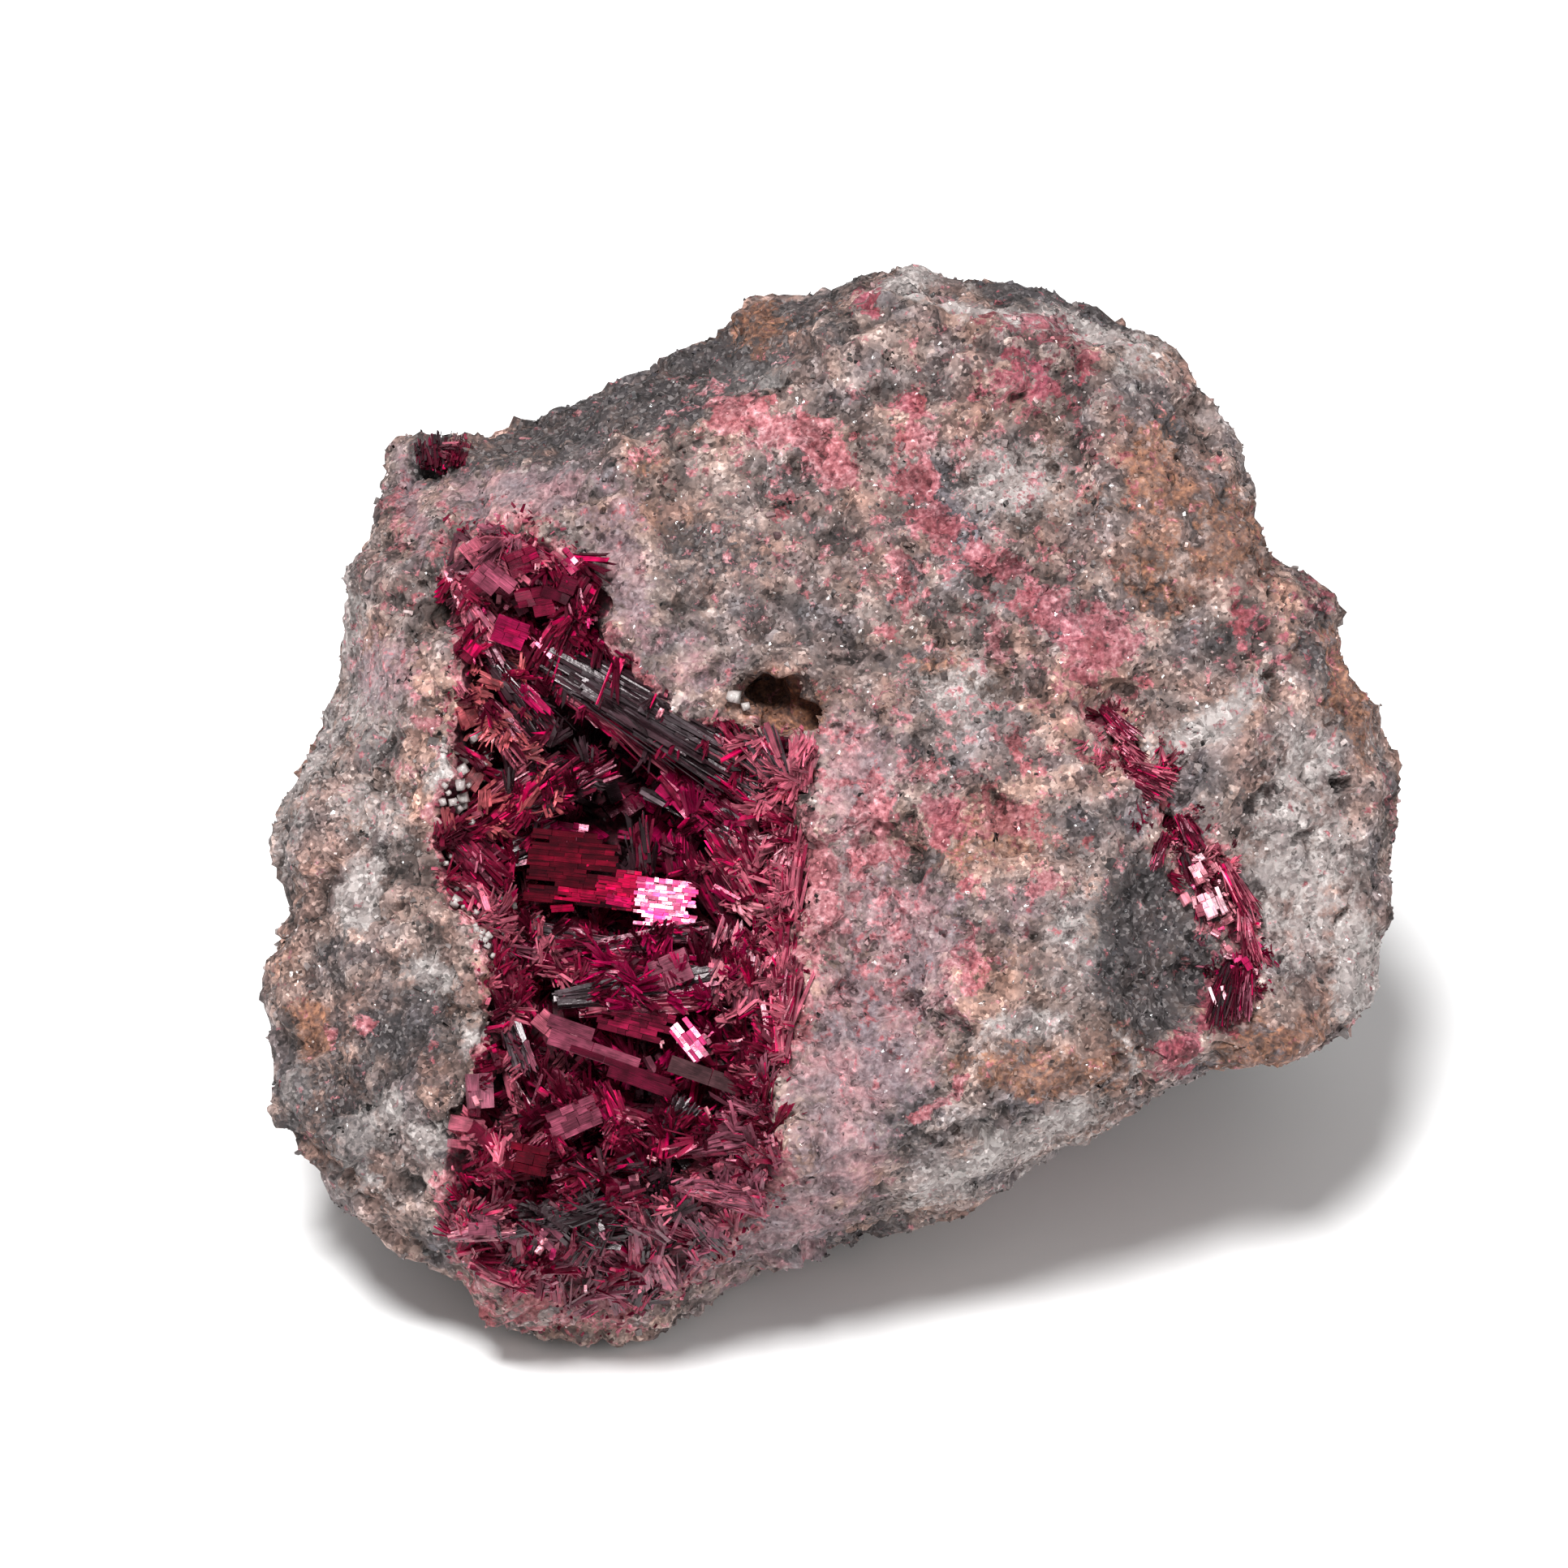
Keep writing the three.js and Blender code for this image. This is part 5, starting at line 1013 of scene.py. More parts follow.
def rock_material(name):
    """Sugary grey rock: random grey for each grain at two sizes, with veils of stain over it, painted shade
    in its low spots and painted light on its raised ones.
    """
    n = Nodes(name)
    stains_and_relief = n.attribute("stains_and_relief")
    stains_b = n.attribute("stains_b")
    pink, lilac, rust = n.split(stains_and_relief.outputs["Color"])
    pale, dark, vug = n.split(stains_b.outputs["Color"])

    fine = n.noise(0.5, 3, roughness=0.6)
    medium = n.noise(1.6, 3, roughness=0.6)
    broad = n.noise(6.0, 2, roughness=0.6)
    ragged = n.noise(1.3, 5, roughness=0.7)
    mottle = n.noise(3.6, 4, roughness=0.65)
    speck_cells = n.cells(0.28)
    coarse_cells = n.cells(0.8)
    shard_cells = n.cells(2.1, vector=n.warped(1.4, 0.9))
    speck = n.split(speck_cells)
    coarse = n.split(coarse_cells)
    shards = n.split(shard_cells)
    chunks = n.split(n.cells(5.0, vector=n.warped(3.0, 2.0)))

    grey = n.ramp(
        speck[0], (0.0, (0.035, 0.027, 0.026)), (0.22, (0.13, 0.102, 0.097)), (0.5, (0.25, 0.20, 0.19)),
        (0.8, (0.37, 0.30, 0.285)), (0.97, (0.72, 0.65, 0.63)),
    )
    lumps = n.ramp(
        coarse[0], (0.0, (0.10, 0.079, 0.076)), (0.4, (0.21, 0.167, 0.158)), (0.75, (0.32, 0.26, 0.25)),
        (0.98, (0.50, 0.42, 0.40)),
    )
    colour = n.mix(0.45, grey, lumps)
    patchy = n.ramp(mottle, (0.34, 0.45), (0.47, 0.9), (0.56, 1.15), (0.68, 1.6))
    colour = n.mix(0.75, colour, patchy, "MULTIPLY")
    dusty = n.ramp(medium, (0.3, 0.4), (0.5, 0.95), (0.72, 1.5))
    colour = n.mix(0.7, colour, dusty, "MULTIPLY")
    tone = n.ramp(
        shards[0], (0.0, (0.48, 0.49, 0.54)), (0.3, (0.84, 0.80, 0.80)), (0.62, (1.12, 1.08, 1.04)),
        (0.9, (1.45, 1.45, 1.42)),
    )
    colour = n.mix(0.75, colour, tone, "MULTIPLY")
    tone = n.ramp(
        chunks[0], (0.0, (0.66, 0.68, 0.72)), (0.4, (0.95, 0.92, 0.90)), (0.7, (1.12, 1.02, 0.94)),
        (0.95, (1.32, 1.30, 1.26)),
    )
    colour = n.mix(0.8, colour, tone, "MULTIPLY")
    veil = n.ramp(
        broad, (0.34, (0.74, 0.86, 0.96)), (0.47, (1.0, 1.0, 1.0)), (0.56, (1.10, 0.96, 0.90)),
        (0.68, (1.28, 0.95, 0.80)),
    )
    colour = n.mix(0.8, colour, veil, "MULTIPLY")
    # Painted shade in the low spots of the relief and painted light on its raised ones, from the relief in
    # the alpha of the first stain attribute.
    painted_relief_shade = n.ramp(stains_and_relief.outputs["Alpha"], (0.12, 0.35), (0.42, 0.9), (0.6, 1.08), (0.85, 1.4))
    colour = n.mix(1.0, colour, n.mix(1.0, painted_relief_shade, (0.76, 0.70, 0.695), "MULTIPLY"), "MULTIPLY")

    # Each stain covers what lies under it.
    white = n.ramp(
        coarse[1], (0.0, (0.22, 0.19, 0.185)), (0.6, (0.36, 0.315, 0.305)), (1.0, (0.62, 0.57, 0.55)),
    )
    colour = n.mix(stained(n, pale, ragged, 0.2, 2.2), colour, n.mix(0.35, white, grey))
    # The dark mask paints dark rock, and painted shade in the hollow beside the fissure and in some
    # pockets.
    black = n.ramp(
        speck[1], (0.0, (0.013, 0.011, 0.012)), (0.7, (0.043, 0.037, 0.040)), (1.0, (0.19, 0.17, 0.17)),
    )
    colour = n.mix(n.math("MULTIPLY", stained(n, dark, ragged, 0.2, 1.8), 0.88), colour, black)
    brown = n.ramp(
        fine, (0.3, (0.045, 0.02, 0.016)), (0.5, (0.19, 0.082, 0.05)), (0.7, (0.44, 0.20, 0.11)),
    )
    brown = n.mix(0.9, brown, n.ramp(shards[1], (0.0, 0.5), (0.5, 0.95), (1.0, 1.5)), "MULTIPLY")
    colour = n.mix(n.math("MULTIPLY", stained(n, rust, ragged, 0.16, 2.6), 0.75), colour, brown)
    lilac_colour = n.ramp(
        fine, (0.3, (0.12, 0.075, 0.085)), (0.5, (0.27, 0.17, 0.185)), (0.72, (0.46, 0.33, 0.345)),
    )
    film = n.ramp(mottle, (0.36, (0.80, 0.92, 0.96)), (0.5, (1.0, 1.0, 1.0)), (0.62, (1.25, 1.0, 1.02)))
    lilac_colour = n.mix(1.0, lilac_colour, film, "MULTIPLY")
    colour = n.mix(n.math("MULTIPLY", stained(n, lilac, ragged, 0.22, 2.4), 0.75), colour, lilac_colour)
    pink_colour = n.ramp(
        fine, (0.3, (0.11, 0.018, 0.030)), (0.43, (0.30, 0.085, 0.10)), (0.56, (0.46, 0.18, 0.20)),
        (0.72, (0.70, 0.40, 0.42)),
    )
    berry = n.ramp(
        fine, (0.3, (0.06, 0.006, 0.014)), (0.5, (0.22, 0.03, 0.055)), (0.7, (0.42, 0.13, 0.16)),
    )
    pink_colour = n.mix(stains_b.outputs["Alpha"], pink_colour, berry)
    bloom = n.ramp(
        mottle, (0.36, (0.60, 0.36, 0.38)), (0.46, (0.92, 0.78, 0.80)), (0.58, (1.05, 1.15, 1.15)),
    )
    pink_colour = n.mix(1.0, pink_colour, bloom, "MULTIPLY")
    broken = n.ramp(shards[2], (0.0, 0.55), (0.5, 0.95), (1.0, 1.4))
    pink_colour = n.mix(0.7, pink_colour, broken, "MULTIPLY")
    colour = n.mix(n.math("MULTIPLY", stained(n, pink, ragged, 0.10, 3.4), 0.85), colour, pink_colour)
    vug_floor = n.ramp(
        fine, (0.35, (0.012, 0.001, 0.003)), (0.55, (0.07, 0.004, 0.014)), (0.75, (0.22, 0.02, 0.05)),
    )
    colour = n.mix(stained(n, vug, medium, 0.12, 0.5), colour, vug_floor)

    gleam = n.ramp(speck[2], (0.0, 0.9), (0.9, 0.75), (0.96, 0.22), (1.0, 0.15))
    relief = n.bump(medium, 0.24, 0.7)
    relief = n.leaned(relief, (shard_cells, 0.7), (coarse_cells, 0.75), (speck_cells, 0.7))
    n.shade(Base_Color=colour, Roughness=gleam, Specular_IOR_Level=0.45, Normal=relief)
    return n.material


def crystal_material(name, gloss, striation):
    """Glassy blades: each takes its tint and clearness from the attribute, with fine striations,
    `striation` mm deep, along its length from the uv map."""
    n = Nodes(name)
    tint = n.attribute("tint")
    uv = n.add("ShaderNodeUVMap", uv_map="along").outputs["UV"]
    stretch = n.add("ShaderNodeMapping")
    stretch.inputs["Scale"].default_value = (9.0, 0.5, 1.0)
    n.feed(stretch.inputs["Vector"], uv)
    streak = n.add("ShaderNodeTexNoise")
    streak.inputs["Scale"].default_value = 1.6
    streak.inputs["Detail"].default_value = 3.0
    n.feed(streak.inputs["Vector"], stretch.outputs["Vector"])
    lines = streak.outputs["Fac"]
    shade = n.ramp(lines, (0.3, 0.45), (0.5, 1.0), (0.7, 1.7))
    blotch = n.ramp(n.noise(1.1, 3), (0.3, 0.5), (0.5, 1.0), (0.7, 1.6))
    colour = n.mix(1.0, tint.outputs["Color"], shade, "MULTIPLY")
    colour = n.mix(1.0, colour, blotch, "MULTIPLY")
    clearness = tint.outputs["Alpha"]
    pearl = n.ramp(
        clearness, (0.04, (1.0, 0.95, 0.96)), (0.14, (1.0, 0.62, 0.72)), (0.35, (1.0, 0.40, 0.54)),
    )
    ripple = n.bump(n.noise(0.55, 2), 4.0 * striation, 1.0)
    n.shade(
        Base_Color=colour, Roughness=n.ramp(lines, (0.3, gloss + 0.12), (0.7, gloss)),
        Transmission_Weight=clearness, IOR=ERYTHRITE_IOR, Specular_IOR_Level=0.3, Specular_Tint=pearl,
        Normal=n.bump(lines, striation, 1.0, ripple),
    )
    return n.material


def quartz_material(name):
    """Milky grains: white with a faint warm mottling, a little clear."""
    n = Nodes(name)
    milk = n.ramp(
        n.noise(0.8, 3), (0.3, (0.42, 0.34, 0.34)), (0.6, (0.62, 0.56, 0.54)), (0.8, (0.80, 0.76, 0.73)),
    )
    n.shade(
        Base_Color=milk, Roughness=n.ramp(n.noise(0.4, 2), (0.3, 0.45), (0.7, 0.2)),
        Transmission_Weight=0.35, IOR=QUARTZ_IOR, Normal=n.bump(n.noise(0.3, 2), 0.04, 0.7),
    )
    return n.material


def grain_material(name):
    """Broken grains that take their tint from the rock under them, with a gleam on some."""
    n = Nodes(name)
    tint = n.attribute("tint")
    shade = n.ramp(n.noise(0.35, 2), (0.3, 0.65), (0.7, 1.35))
    n.shade(
        Base_Color=n.mix(1.0, tint.outputs["Color"], shade, "MULTIPLY"),
        Roughness=n.ramp(n.noise(0.9, 1), (0.4, 0.75), (0.62, 0.3)),
        Normal=n.bump(n.noise(0.15, 2), 0.03, 0.7),
    )
    return n.material


def floor_material(name, tint):
    """A pale, matt floor with a barely darker cloud here and there."""
    n = Nodes(name)
    base = np.array(tint)
    clouds = n.ramp(n.noise(60.0, 2), (0.3, tuple(base * 0.985)), (0.7, tuple(base)))
    n.shade(Base_Color=clouds, Roughness=0.8, Specular_IOR_Level=0.2)
    return n.material


# The rock


def fine_copy(node, voxel):
    """A copy of a CAD node's shape in even squares of `voxel` mm."""
    piece = link("fine_copy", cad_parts[node].data.copy())
    weld = piece.modifiers.new("weld", "WELD")
    weld.merge_threshold = 1e-5
    remesh = piece.modifiers.new("remesh", "REMESH")
    remesh.mode = "VOXEL"
    remesh.voxel_size = voxel * MM
    remesh.use_smooth_shade = False
    depsgraph = bpy.context.evaluated_depsgraph_get()
    mesh = bpy.data.meshes.new_from_object(piece.evaluated_get(depsgraph))
    bpy.data.objects.remove(piece)
    return mesh


def points_and_normals(mesh):
    """A mesh's points in mm and its normals, each N x 3."""
    points, normals = np.empty((2, len(mesh.vertices) * 3))
    mesh.vertices.foreach_get("co", points)
    mesh.vertex_normals.foreach_get("vector", normals)
    return points.reshape(-1, 3) / MM, normals.reshape(-1, 3)


def stain_masks(sight, facing):
    """Each kind of stain at each point, 0 to 1: the strongest of its ovals, whose edges wander."""
    spots = sight * (1, 1, 0.6)
    right = sight[:, 0] + 0.9 * fractal(spots, 3.5, 3, 21)
    up = sight[:, 1] + 0.9 * fractal(spots, 3.5, 3, 31)
    masks = {kind: np.zeros(len(sight)) for kind in STAIN_KINDS}
    for kind, ovals in STAINS.items():
        for x, y, half_long, half_short, turn, strength in ovals:
            share = oval_share(right - x, up - y, half_long, half_short, turn)
            masks[kind] = np.maximum(masks[kind], strength * np.clip(1.35 - 0.85 * share, 0, 1))
    share = vug_share(right, up)
    crack = line_distance(right, up, FISSURE_LINE)
    masks["vug"] = np.maximum(1 - smoothstep(share, 0.88, 1.02), 1 - smoothstep(crack, 0.6, 1.9))
    rim = smoothstep(share, 0.8, 0.95) * (1 - smoothstep(share, 0.98, 1.1))
    crack_rim = smoothstep(crack, 0.8, 1.4) * (1 - smoothstep(crack, 1.8, 3.2))
    masks["pink"] = np.maximum(masks["pink"], np.maximum(0.6 * rim, 0.5 * crack_rim))
    in_front = smoothstep(facing, -0.25, 0.1)
    for kind, size, amount in BACK_PATCHES:
        patches = amount * smoothstep(fractal(sight, size, 3, STAIN_KINDS.index(kind) * 17 + 5), 0.15, 0.7)
        masks[kind] = masks[kind] * in_front + patches * (1 - in_front)
    masks["vug"] *= in_front
    masks["berry"] = np.clip(masks["berry"], 0, 1)
    return masks


class RockState:
    """What the rock's operator leaves for the others: its points, normals, stains and front."""

    points = normals = masks = front = None


def need_rock():
    """Stops an operator that runs before the rock's."""
    if RockState.front is None:
        raise RuntimeError("build the rock first")


def tilted_faces(points, size, seed, turns, phase):
    """A plane through each random cell, tilted by the cell's own number: the depth below it."""
    _, tag, offset = cells_around(points, size, seed)
    a, b, c = turns
    tilt = np.stack([np.sin(tag * a), np.cos(tag * b), np.sin(tag * c + phase)], axis=1)
    return (offset * tilt).sum(1)


def add_colours(mesh, name, values):
    """A colour attribute on the points from four arrays of numbers."""
    layer = mesh.color_attributes.new(name, "FLOAT_COLOR", "POINT")
    layer.data.foreach_set("color", np.stack(values, axis=1).astype(np.float32).ravel())


def build_rock(settings):
    """The fine copy of the block, with its points pushed out and in along their normals by lumps,
    chipped faces, ledges, creases, grains, pits and pockets. The flat base stays flat."""
    mesh = fine_copy("matrix", settings.voxel)
    points, normals = points_and_normals(mesh)
    sight = to_sight(points)
    facing = normals @ TOWARD
    RockState.front = RockFront(sight, facing > 0.05)

    masks = stain_masks(sight, facing)
    inside = (1 - smoothstep(vug_share(sight[:, 0], sight[:, 1]), 0.8, 1.0)) * (facing > 0)
    chip = tilted_faces(points + 0.6 * noise(points, 1.7, 3)[:, None], 2.6, 40, (40, 57, 91), 1)
    facet = tilted_faces(points + 1.5 * noise(points, 4, 4)[:, None], 7.5, 50, (33, 71, 87), 2)
    distance, small_tag, _ = cells_around(points, 1.15, 60)
    step = 3.2 * fractal(points + 2.0 * noise(points, 6.0, 66)[:, None], 9.0, 3, 65, 0.55)
    ledge = np.floor(step) + smoothstep(step - np.floor(step), 0.38, 0.62) - step
    crease = 1 - np.abs(fractal(points, 5.0, 3, 70))
    down_slope = np.stack([sight[:, 0] + 0.15 * sight[:, 1], 0.22 * sight[:, 1], 0 * step], axis=1)
    height = (
        settings.lumps * fractal(points, 8.0, 2, 80)
        + settings.chips * (chip + 2.6 * facet) * (1 - 0.45 * np.clip(masks["pale"], 0, 1))
        + settings.ledges * ledge * (1 - 0.6 * masks["lilac"])
        - settings.creases * smoothstep(crease, 0.84, 1.0)
        + settings.grain * ((small_tag - 0.5) * 1.6 + 0.5 - distance)
        + 0.5 * settings.grain * noise(points, 0.9, 90)
        + 0.45 * settings.ledges * masks["lilac"] * fractal(down_slope, 1.6, 2, 95)
    )
    crack = line_distance(sight[:, 0], sight[:, 1], FISSURE_LINE)
    crust = 0.8 + 0.6 * noise(points, 2.2, 110)
    height += settings.fill * (1 - smoothstep(crack, 1.6, 3.4)) * (facing > 0) * crust
    height -= settings.pits * smoothstep(fractal(points, 3.0, 3, 100), 0.5, 0.75)
    height *= 1 - 0.5 * inside
    sway_right, sway_up = (0.5 * noise(points, 1.6, seed) for seed in (120, 121))
    for x, y, half_long, half_short, turn, depth in POCKETS:
        dx, dy = sight[:, 0] - x + sway_right, sight[:, 1] - y + sway_up
        reach = oval_share(dx, dy, half_long, half_short, turn)
        height -= depth * (1 - smoothstep(reach, 0.6, 1.15)) * (facing > 0)
    # The relief without its broad parts, which the material turns into painted shade in the low spots and
    # painted light on the raised ones.
    smooth_part = settings.lumps * fractal(points, 8.0, 1, 80) + 1.8 * settings.chips * facet
    relief = np.clip(0.5 + (height - smooth_part) / 1.8, 0, 1)
    off_base = smoothstep(points[:, 2], 0.1, 1.2)
    points = points + normals * (height * off_base)[:, None]
    points[:, 2] = np.where(points[:, 2] < BASE_BAND, 0.0, points[:, 2])
    points = np.clip(points, ROCK_LOW - ROCK_MARGIN, ROCK_HIGH + ROCK_MARGIN)
    points[:, 2] = np.maximum(points[:, 2], 0)
    mesh.vertices.foreach_set("co", (points * MM).ravel())
    mesh.update()

    add_colours(mesh, "stains_and_relief", [masks[kind] for kind in STAIN_KINDS[:3]] + [relief])
    add_colours(mesh, "stains_b", [masks[kind] for kind in STAIN_KINDS[3:]])
    mesh.polygons.foreach_set("use_smooth", np.ones(len(mesh.polygons), bool))
    RockState.points, RockState.normals, RockState.masks = points, normals, masks
    return mesh


def build_grains(count, size):
    """Broken grains on the rock: little blocks, each sunk by half into a random point of the rock."""
    rng = np.random.default_rng(5)
    free = RockState.masks["vug"] < 0.4
    pick = rng.choice(np.flatnonzero(free & (RockState.points[:, 2] > 0.8)), count, replace=False)
    points, normals = RockState.points[pick], RockState.normals[pick]
    width = size * np.exp(rng.normal(0, 0.45, count))
    along = unit(normals + rng.normal(0, 0.45, normals.shape))
    flat = np.cross(along, rng.normal(0, 1, along.shape))
    reach = along * (width * rng.uniform(0.3, 0.5, count))[:, None]
    shape = ragged_prisms(rng, points - reach, points + reach, flat, width, (0.5, 1), (0.35, 0.8), 0.5)
    grey = rng.choice(GRAIN_GREYS, count, p=GREY_SHARES)
    colours = grey[:, None] * GRAIN_CAST
    for kind, tint in GRAIN_STAINS.items():
        stain = RockState.masks[kind][pick]
        share = np.clip(stain * 1.2 - 0.25 + rng.normal(0, 0.12, count), 0, 0.9)[:, None]
        colours = colours * (1 - share) + np.array(tint) * share
    colours *= np.exp(rng.normal(0, 0.22, (count, 1)))
    colours = np.concatenate([colours, np.ones((count, 1))], axis=1)
    return (*shape, np.repeat(colours, BLADE_POINTS, axis=0))


# The crystals


def build_rows(shape, rows, seed):
    """All the sheaves or plates of a table as one."""
    rng = np.random.default_rng(seed)
    return join_parts([shape(rng, row) for row in rows])


def build_blocks(rng, front, count):
    """Small stray cleavage blocks over the vug, each a plate of a few bricks at a random lean."""
    right, up = spots_inside(rng, count, 0, 0.93)
    places = np.array([(x, y) for x, y, *_ in VUG_REGIONS])
    rows = []
    for x, y in zip(right, up):
        region = VUG_REGIONS[np.hypot(*(places - (x, y)).T).argmin()]
        depth = depth_at(front, x, y, rng.uniform(0.6, 2.0))
        size = rng.uniform(0.9, 3.0)
        rows.append((
            region[2 + int(rng.integers(3))], (x, y, depth), rng.uniform(-90, 90), rng.normal(0, 20),
            rng.normal(0, 20), size, size * rng.uniform(0.4, 0.8), int(rng.integers(2, 5)),
            int(rng.integers(1, 4)), rng.uniform(1, 5),
        ))
    return [plate(rng, row) for row in rows]


def build_druse(count):
    """The bed of the vug: small sprays on the rock, stray blocks, and fine blades along the rim."""
    rng = np.random.default_rng(17)
    front = RockState.front
    right, up = spots_inside(rng, count, 0, 0.98)
    right, up = (value[open_spots(right, up)] for value in (right, up))
    roots = np.stack([right, up, front.at(right, up)], axis=1)
    rim = spots_inside(rng, RIM_BLADES, 0.90, 1.04)
    parts = [
        sprays(rng, front, roots, inward(rng, right, up), VUG_REGIONS, (13, 1.2, 4.4, 0.20)),
        scatter_blades(rng, front, *rim, (0.2, 0.8, 0.18, 1.3), ("rose", "crimson", 0.6)),
    ]
    right, up = spots_inside(rng, VUG_SPARKLES, 0, 0.95)
    right, up = (value[open_spots(right, up)] for value in (right, up))
    right = np.concatenate([right, rng.normal(-11.4, 1.2, 9), rng.normal(-5.6, 1.2, 14)])
    up = np.concatenate([up, rng.normal(-18.6, 0.9, 9), rng.normal(-11.0, 4.0, 14)])
    spots = np.stack([right, up, depth_at(front, right, up, rng.uniform(1.2, 3.4, len(right)))], axis=1)
    rows = sparkle_rows(rng, spots, ("glint", "pink", "wine", "crimson"), (0.3, 0.95), 10)
    return join_parts(parts + build_blocks(rng, front, STRAY_BLOCKS) + [plate(rng, row) for row in rows])


def build_offshoots(sheaf_points, count):
    """Small sprays that grow out of the sheaves, each from a random blade, and hide their sameness."""
    rng = np.random.default_rng(29)
    roots = to_sight(sheaf_points[rng.choice(len(sheaf_points), count, replace=False)])
    clear = open_spots(roots[:, 0], roots[:, 1])
    on_beam = line_distance(roots[:, 0], roots[:, 1], BEAM_LINE) < 1.9
    roots = roots[clear & ~(on_beam & (rng.random(count) < 0.93))]
    heading = inward(rng, roots[:, 0], roots[:, 1])
    return sprays(rng, RockState.front, roots, heading, VUG_REGIONS, (11, 0.9, 3.2, 0.17))


def build_fissure(count):
    """The fissure's lining: small sprays beside its line, thicker toward the middle, and a few
    sheaves and plates."""
    rng = np.random.default_rng(7)
    front = RockState.front
    pick = rng.integers(0, len(FISSURE_LINE) - 1, count)
    along = rng.random(count)[:, None]
    spots = FISSURE_LINE[pick] * (1 - along) + FISSURE_LINE[pick + 1] * along
    spots += rng.normal(0, FISSURE_WIDTH, (count, 2)) * (0.45 + 0.55 * rng.random((count, 1)))
    off_hole = spots - FISSURE_OPEN
    right, up = spots[np.hypot(off_hole[:, 0], off_hole[:, 1] * 0.6) > 0.8].T
    roots = np.stack([right, up, front.at(right, up)], axis=1)
    heading = rng.uniform(0, 2 * math.pi, len(right))
    parts = [sprays(rng, front, roots, heading, FISSURE_REGIONS, (11, 0.5, 1.9, 0.12))]
    parts += [sheaf(rng, row) for row in FISSURE_SHEAVES] + [plate(rng, row) for row in FISSURE_PLATES]
    share = rng.random(FISSURE_SPARKLES)
    right = 28.6 + 3.4 * share + rng.normal(0.2, 0.75, FISSURE_SPARKLES)
    up = -4.6 - 8.4 * share + rng.normal(0, 0.5, FISSURE_SPARKLES)
    depths = depth_at(front, right, up, rng.uniform(1.0, 1.8, FISSURE_SPARKLES))
    spots = np.stack([right, up, depths], axis=1)
    rows = sparkle_rows(rng, spots, ("painted_glint_pink", "pink", "pink", "rose", "glint"), (0.3, 1.0), 10)
    return join_parts(parts + [plate(rng, row) for row in rows])


def build_quartz(count):
    """Milky grains along the vug's left rim and a few larger ones at the small pocket and in the
    upper vug. Each is a tall and a wide block on the same spot, so it looks rounded."""
    rng = np.random.default_rng(23)
    spots = spots_inside(rng, count * 8, 0.62, 1.04)
    thick = oval_share(spots[0] - BEADS_MIDDLE[0], spots[1] - BEADS_MIDDLE[1], 4.6, 10)
    kept = thick < rng.uniform(0.2, 1.25, len(thick))
    right, up = spots[:, kept][:, :count]
    right = np.append(right, LARGE_QUARTZ["right"])
    up = np.append(up, LARGE_QUARTZ["up"])
    number = len(right)
    size = 0.46 * np.exp(rng.normal(0, 0.35, number))
    size[-len(LARGE_QUARTZ["size"]):] = LARGE_QUARTZ["size"]
    inner = 1 - smoothstep(vug_share(right, up), 0.8, 0.98)
    level = RockState.front.at(right, up) + inner * rng.uniform(1.0, 2.8, number) - 0.2
    root = np.stack([right, up, level], axis=1)
    lean = rng.normal(0, 0.5, number), rng.normal(0, 0.5, number), np.ones(number)
    along = unit(np.stack(lean, axis=1))
    parts = []
    for tall, wide, taper in ((1.1, 0.9, 0.75), (0.8, 1.15, 0.8)):
        tip = root + along * (size * tall)[:, None]
        across = rng.normal(0, 1, root.shape)
        shape = prisms(root, tip, across, size * wide, size * wide, np.full(number, taper), size * 0)
        parts.append(finished(shape, np.ones((number, 4))))
    return join_parts(parts)


# Settings


class RockSettings(bpy.types.PropertyGroup):
    """Sizes of the rock's relief, in millimetres."""

    voxel: bpy.props.FloatProperty(
        name="Mesh fineness", description="Size of the mesh's squares (mm)",
        default=0.55, min=0.3, max=2.0,
    )
    lumps: bpy.props.FloatProperty(
        name="Lumps", description="Height of the broad lumps (mm)",
        default=0.5, min=0.0, max=2.0,
    )
    chips: bpy.props.FloatProperty(
        name="Chips", description="Height of the chipped faces (mm)",
        default=0.34, min=0.0, max=2.0,
    )
    ledges: bpy.props.FloatProperty(
        name="Ledges", description="Height of the small steps (mm)",
        default=0.55, min=0.0, max=2.0,
    )
    creases: bpy.props.FloatProperty(
        name="Creases", description="Depth of the creases (mm)",
        default=0.45, min=0.0, max=2.0,
    )
    pits: bpy.props.FloatProperty(
        name="Pits", description="Depth of the pits (mm)",
        default=0.75, min=0.0, max=2.0,
    )
    fill: bpy.props.FloatProperty(
        name="Fissure fill", description="How far crust narrows the fissure (mm)",
        default=1.0, min=0.0, max=2.0,
    )
    grain: bpy.props.FloatProperty(
        name="Grain", description="Height of single grains (mm)",
        default=0.07, min=0.0, max=1.0,
    )
    grain_count: bpy.props.IntProperty(
        name="Loose grains", description="Number of broken grains on the rock",
        default=14000, min=0, max=16000,
    )
    grain_size: bpy.props.FloatProperty(
        name="Grain size", description="Typical width of a broken grain (mm)",
        default=0.20, min=0.1, max=2.0,
    )


class CrystalSettings(bpy.types.PropertyGroup):
    """Numbers and gloss of the crystals."""

    druse_count: bpy.props.IntProperty(
        name="Druse sprays", description="Number of small sprays in the vug's bed",
        default=1050, min=0, max=1200,
    )
    offshoot_count: bpy.props.IntProperty(
        name="Offshoots", description="Number of small sprays on the sheaves",
        default=820, min=0, max=1400,
    )
    fissure_count: bpy.props.IntProperty(
        name="Fissure sprays", description="Number of small sprays in the fissure",
        default=760, min=0, max=1200,
    )
    quartz_count: bpy.props.IntProperty(
        name="Quartz grains", description="Number of milky grains by the vug",
        default=230, min=0, max=1000,
    )
    gloss: bpy.props.FloatProperty(
        name="Roughness", description="Roughness of the blades' faces",
        default=0.22, min=0.0, max=1.0, subtype="FACTOR",
    )


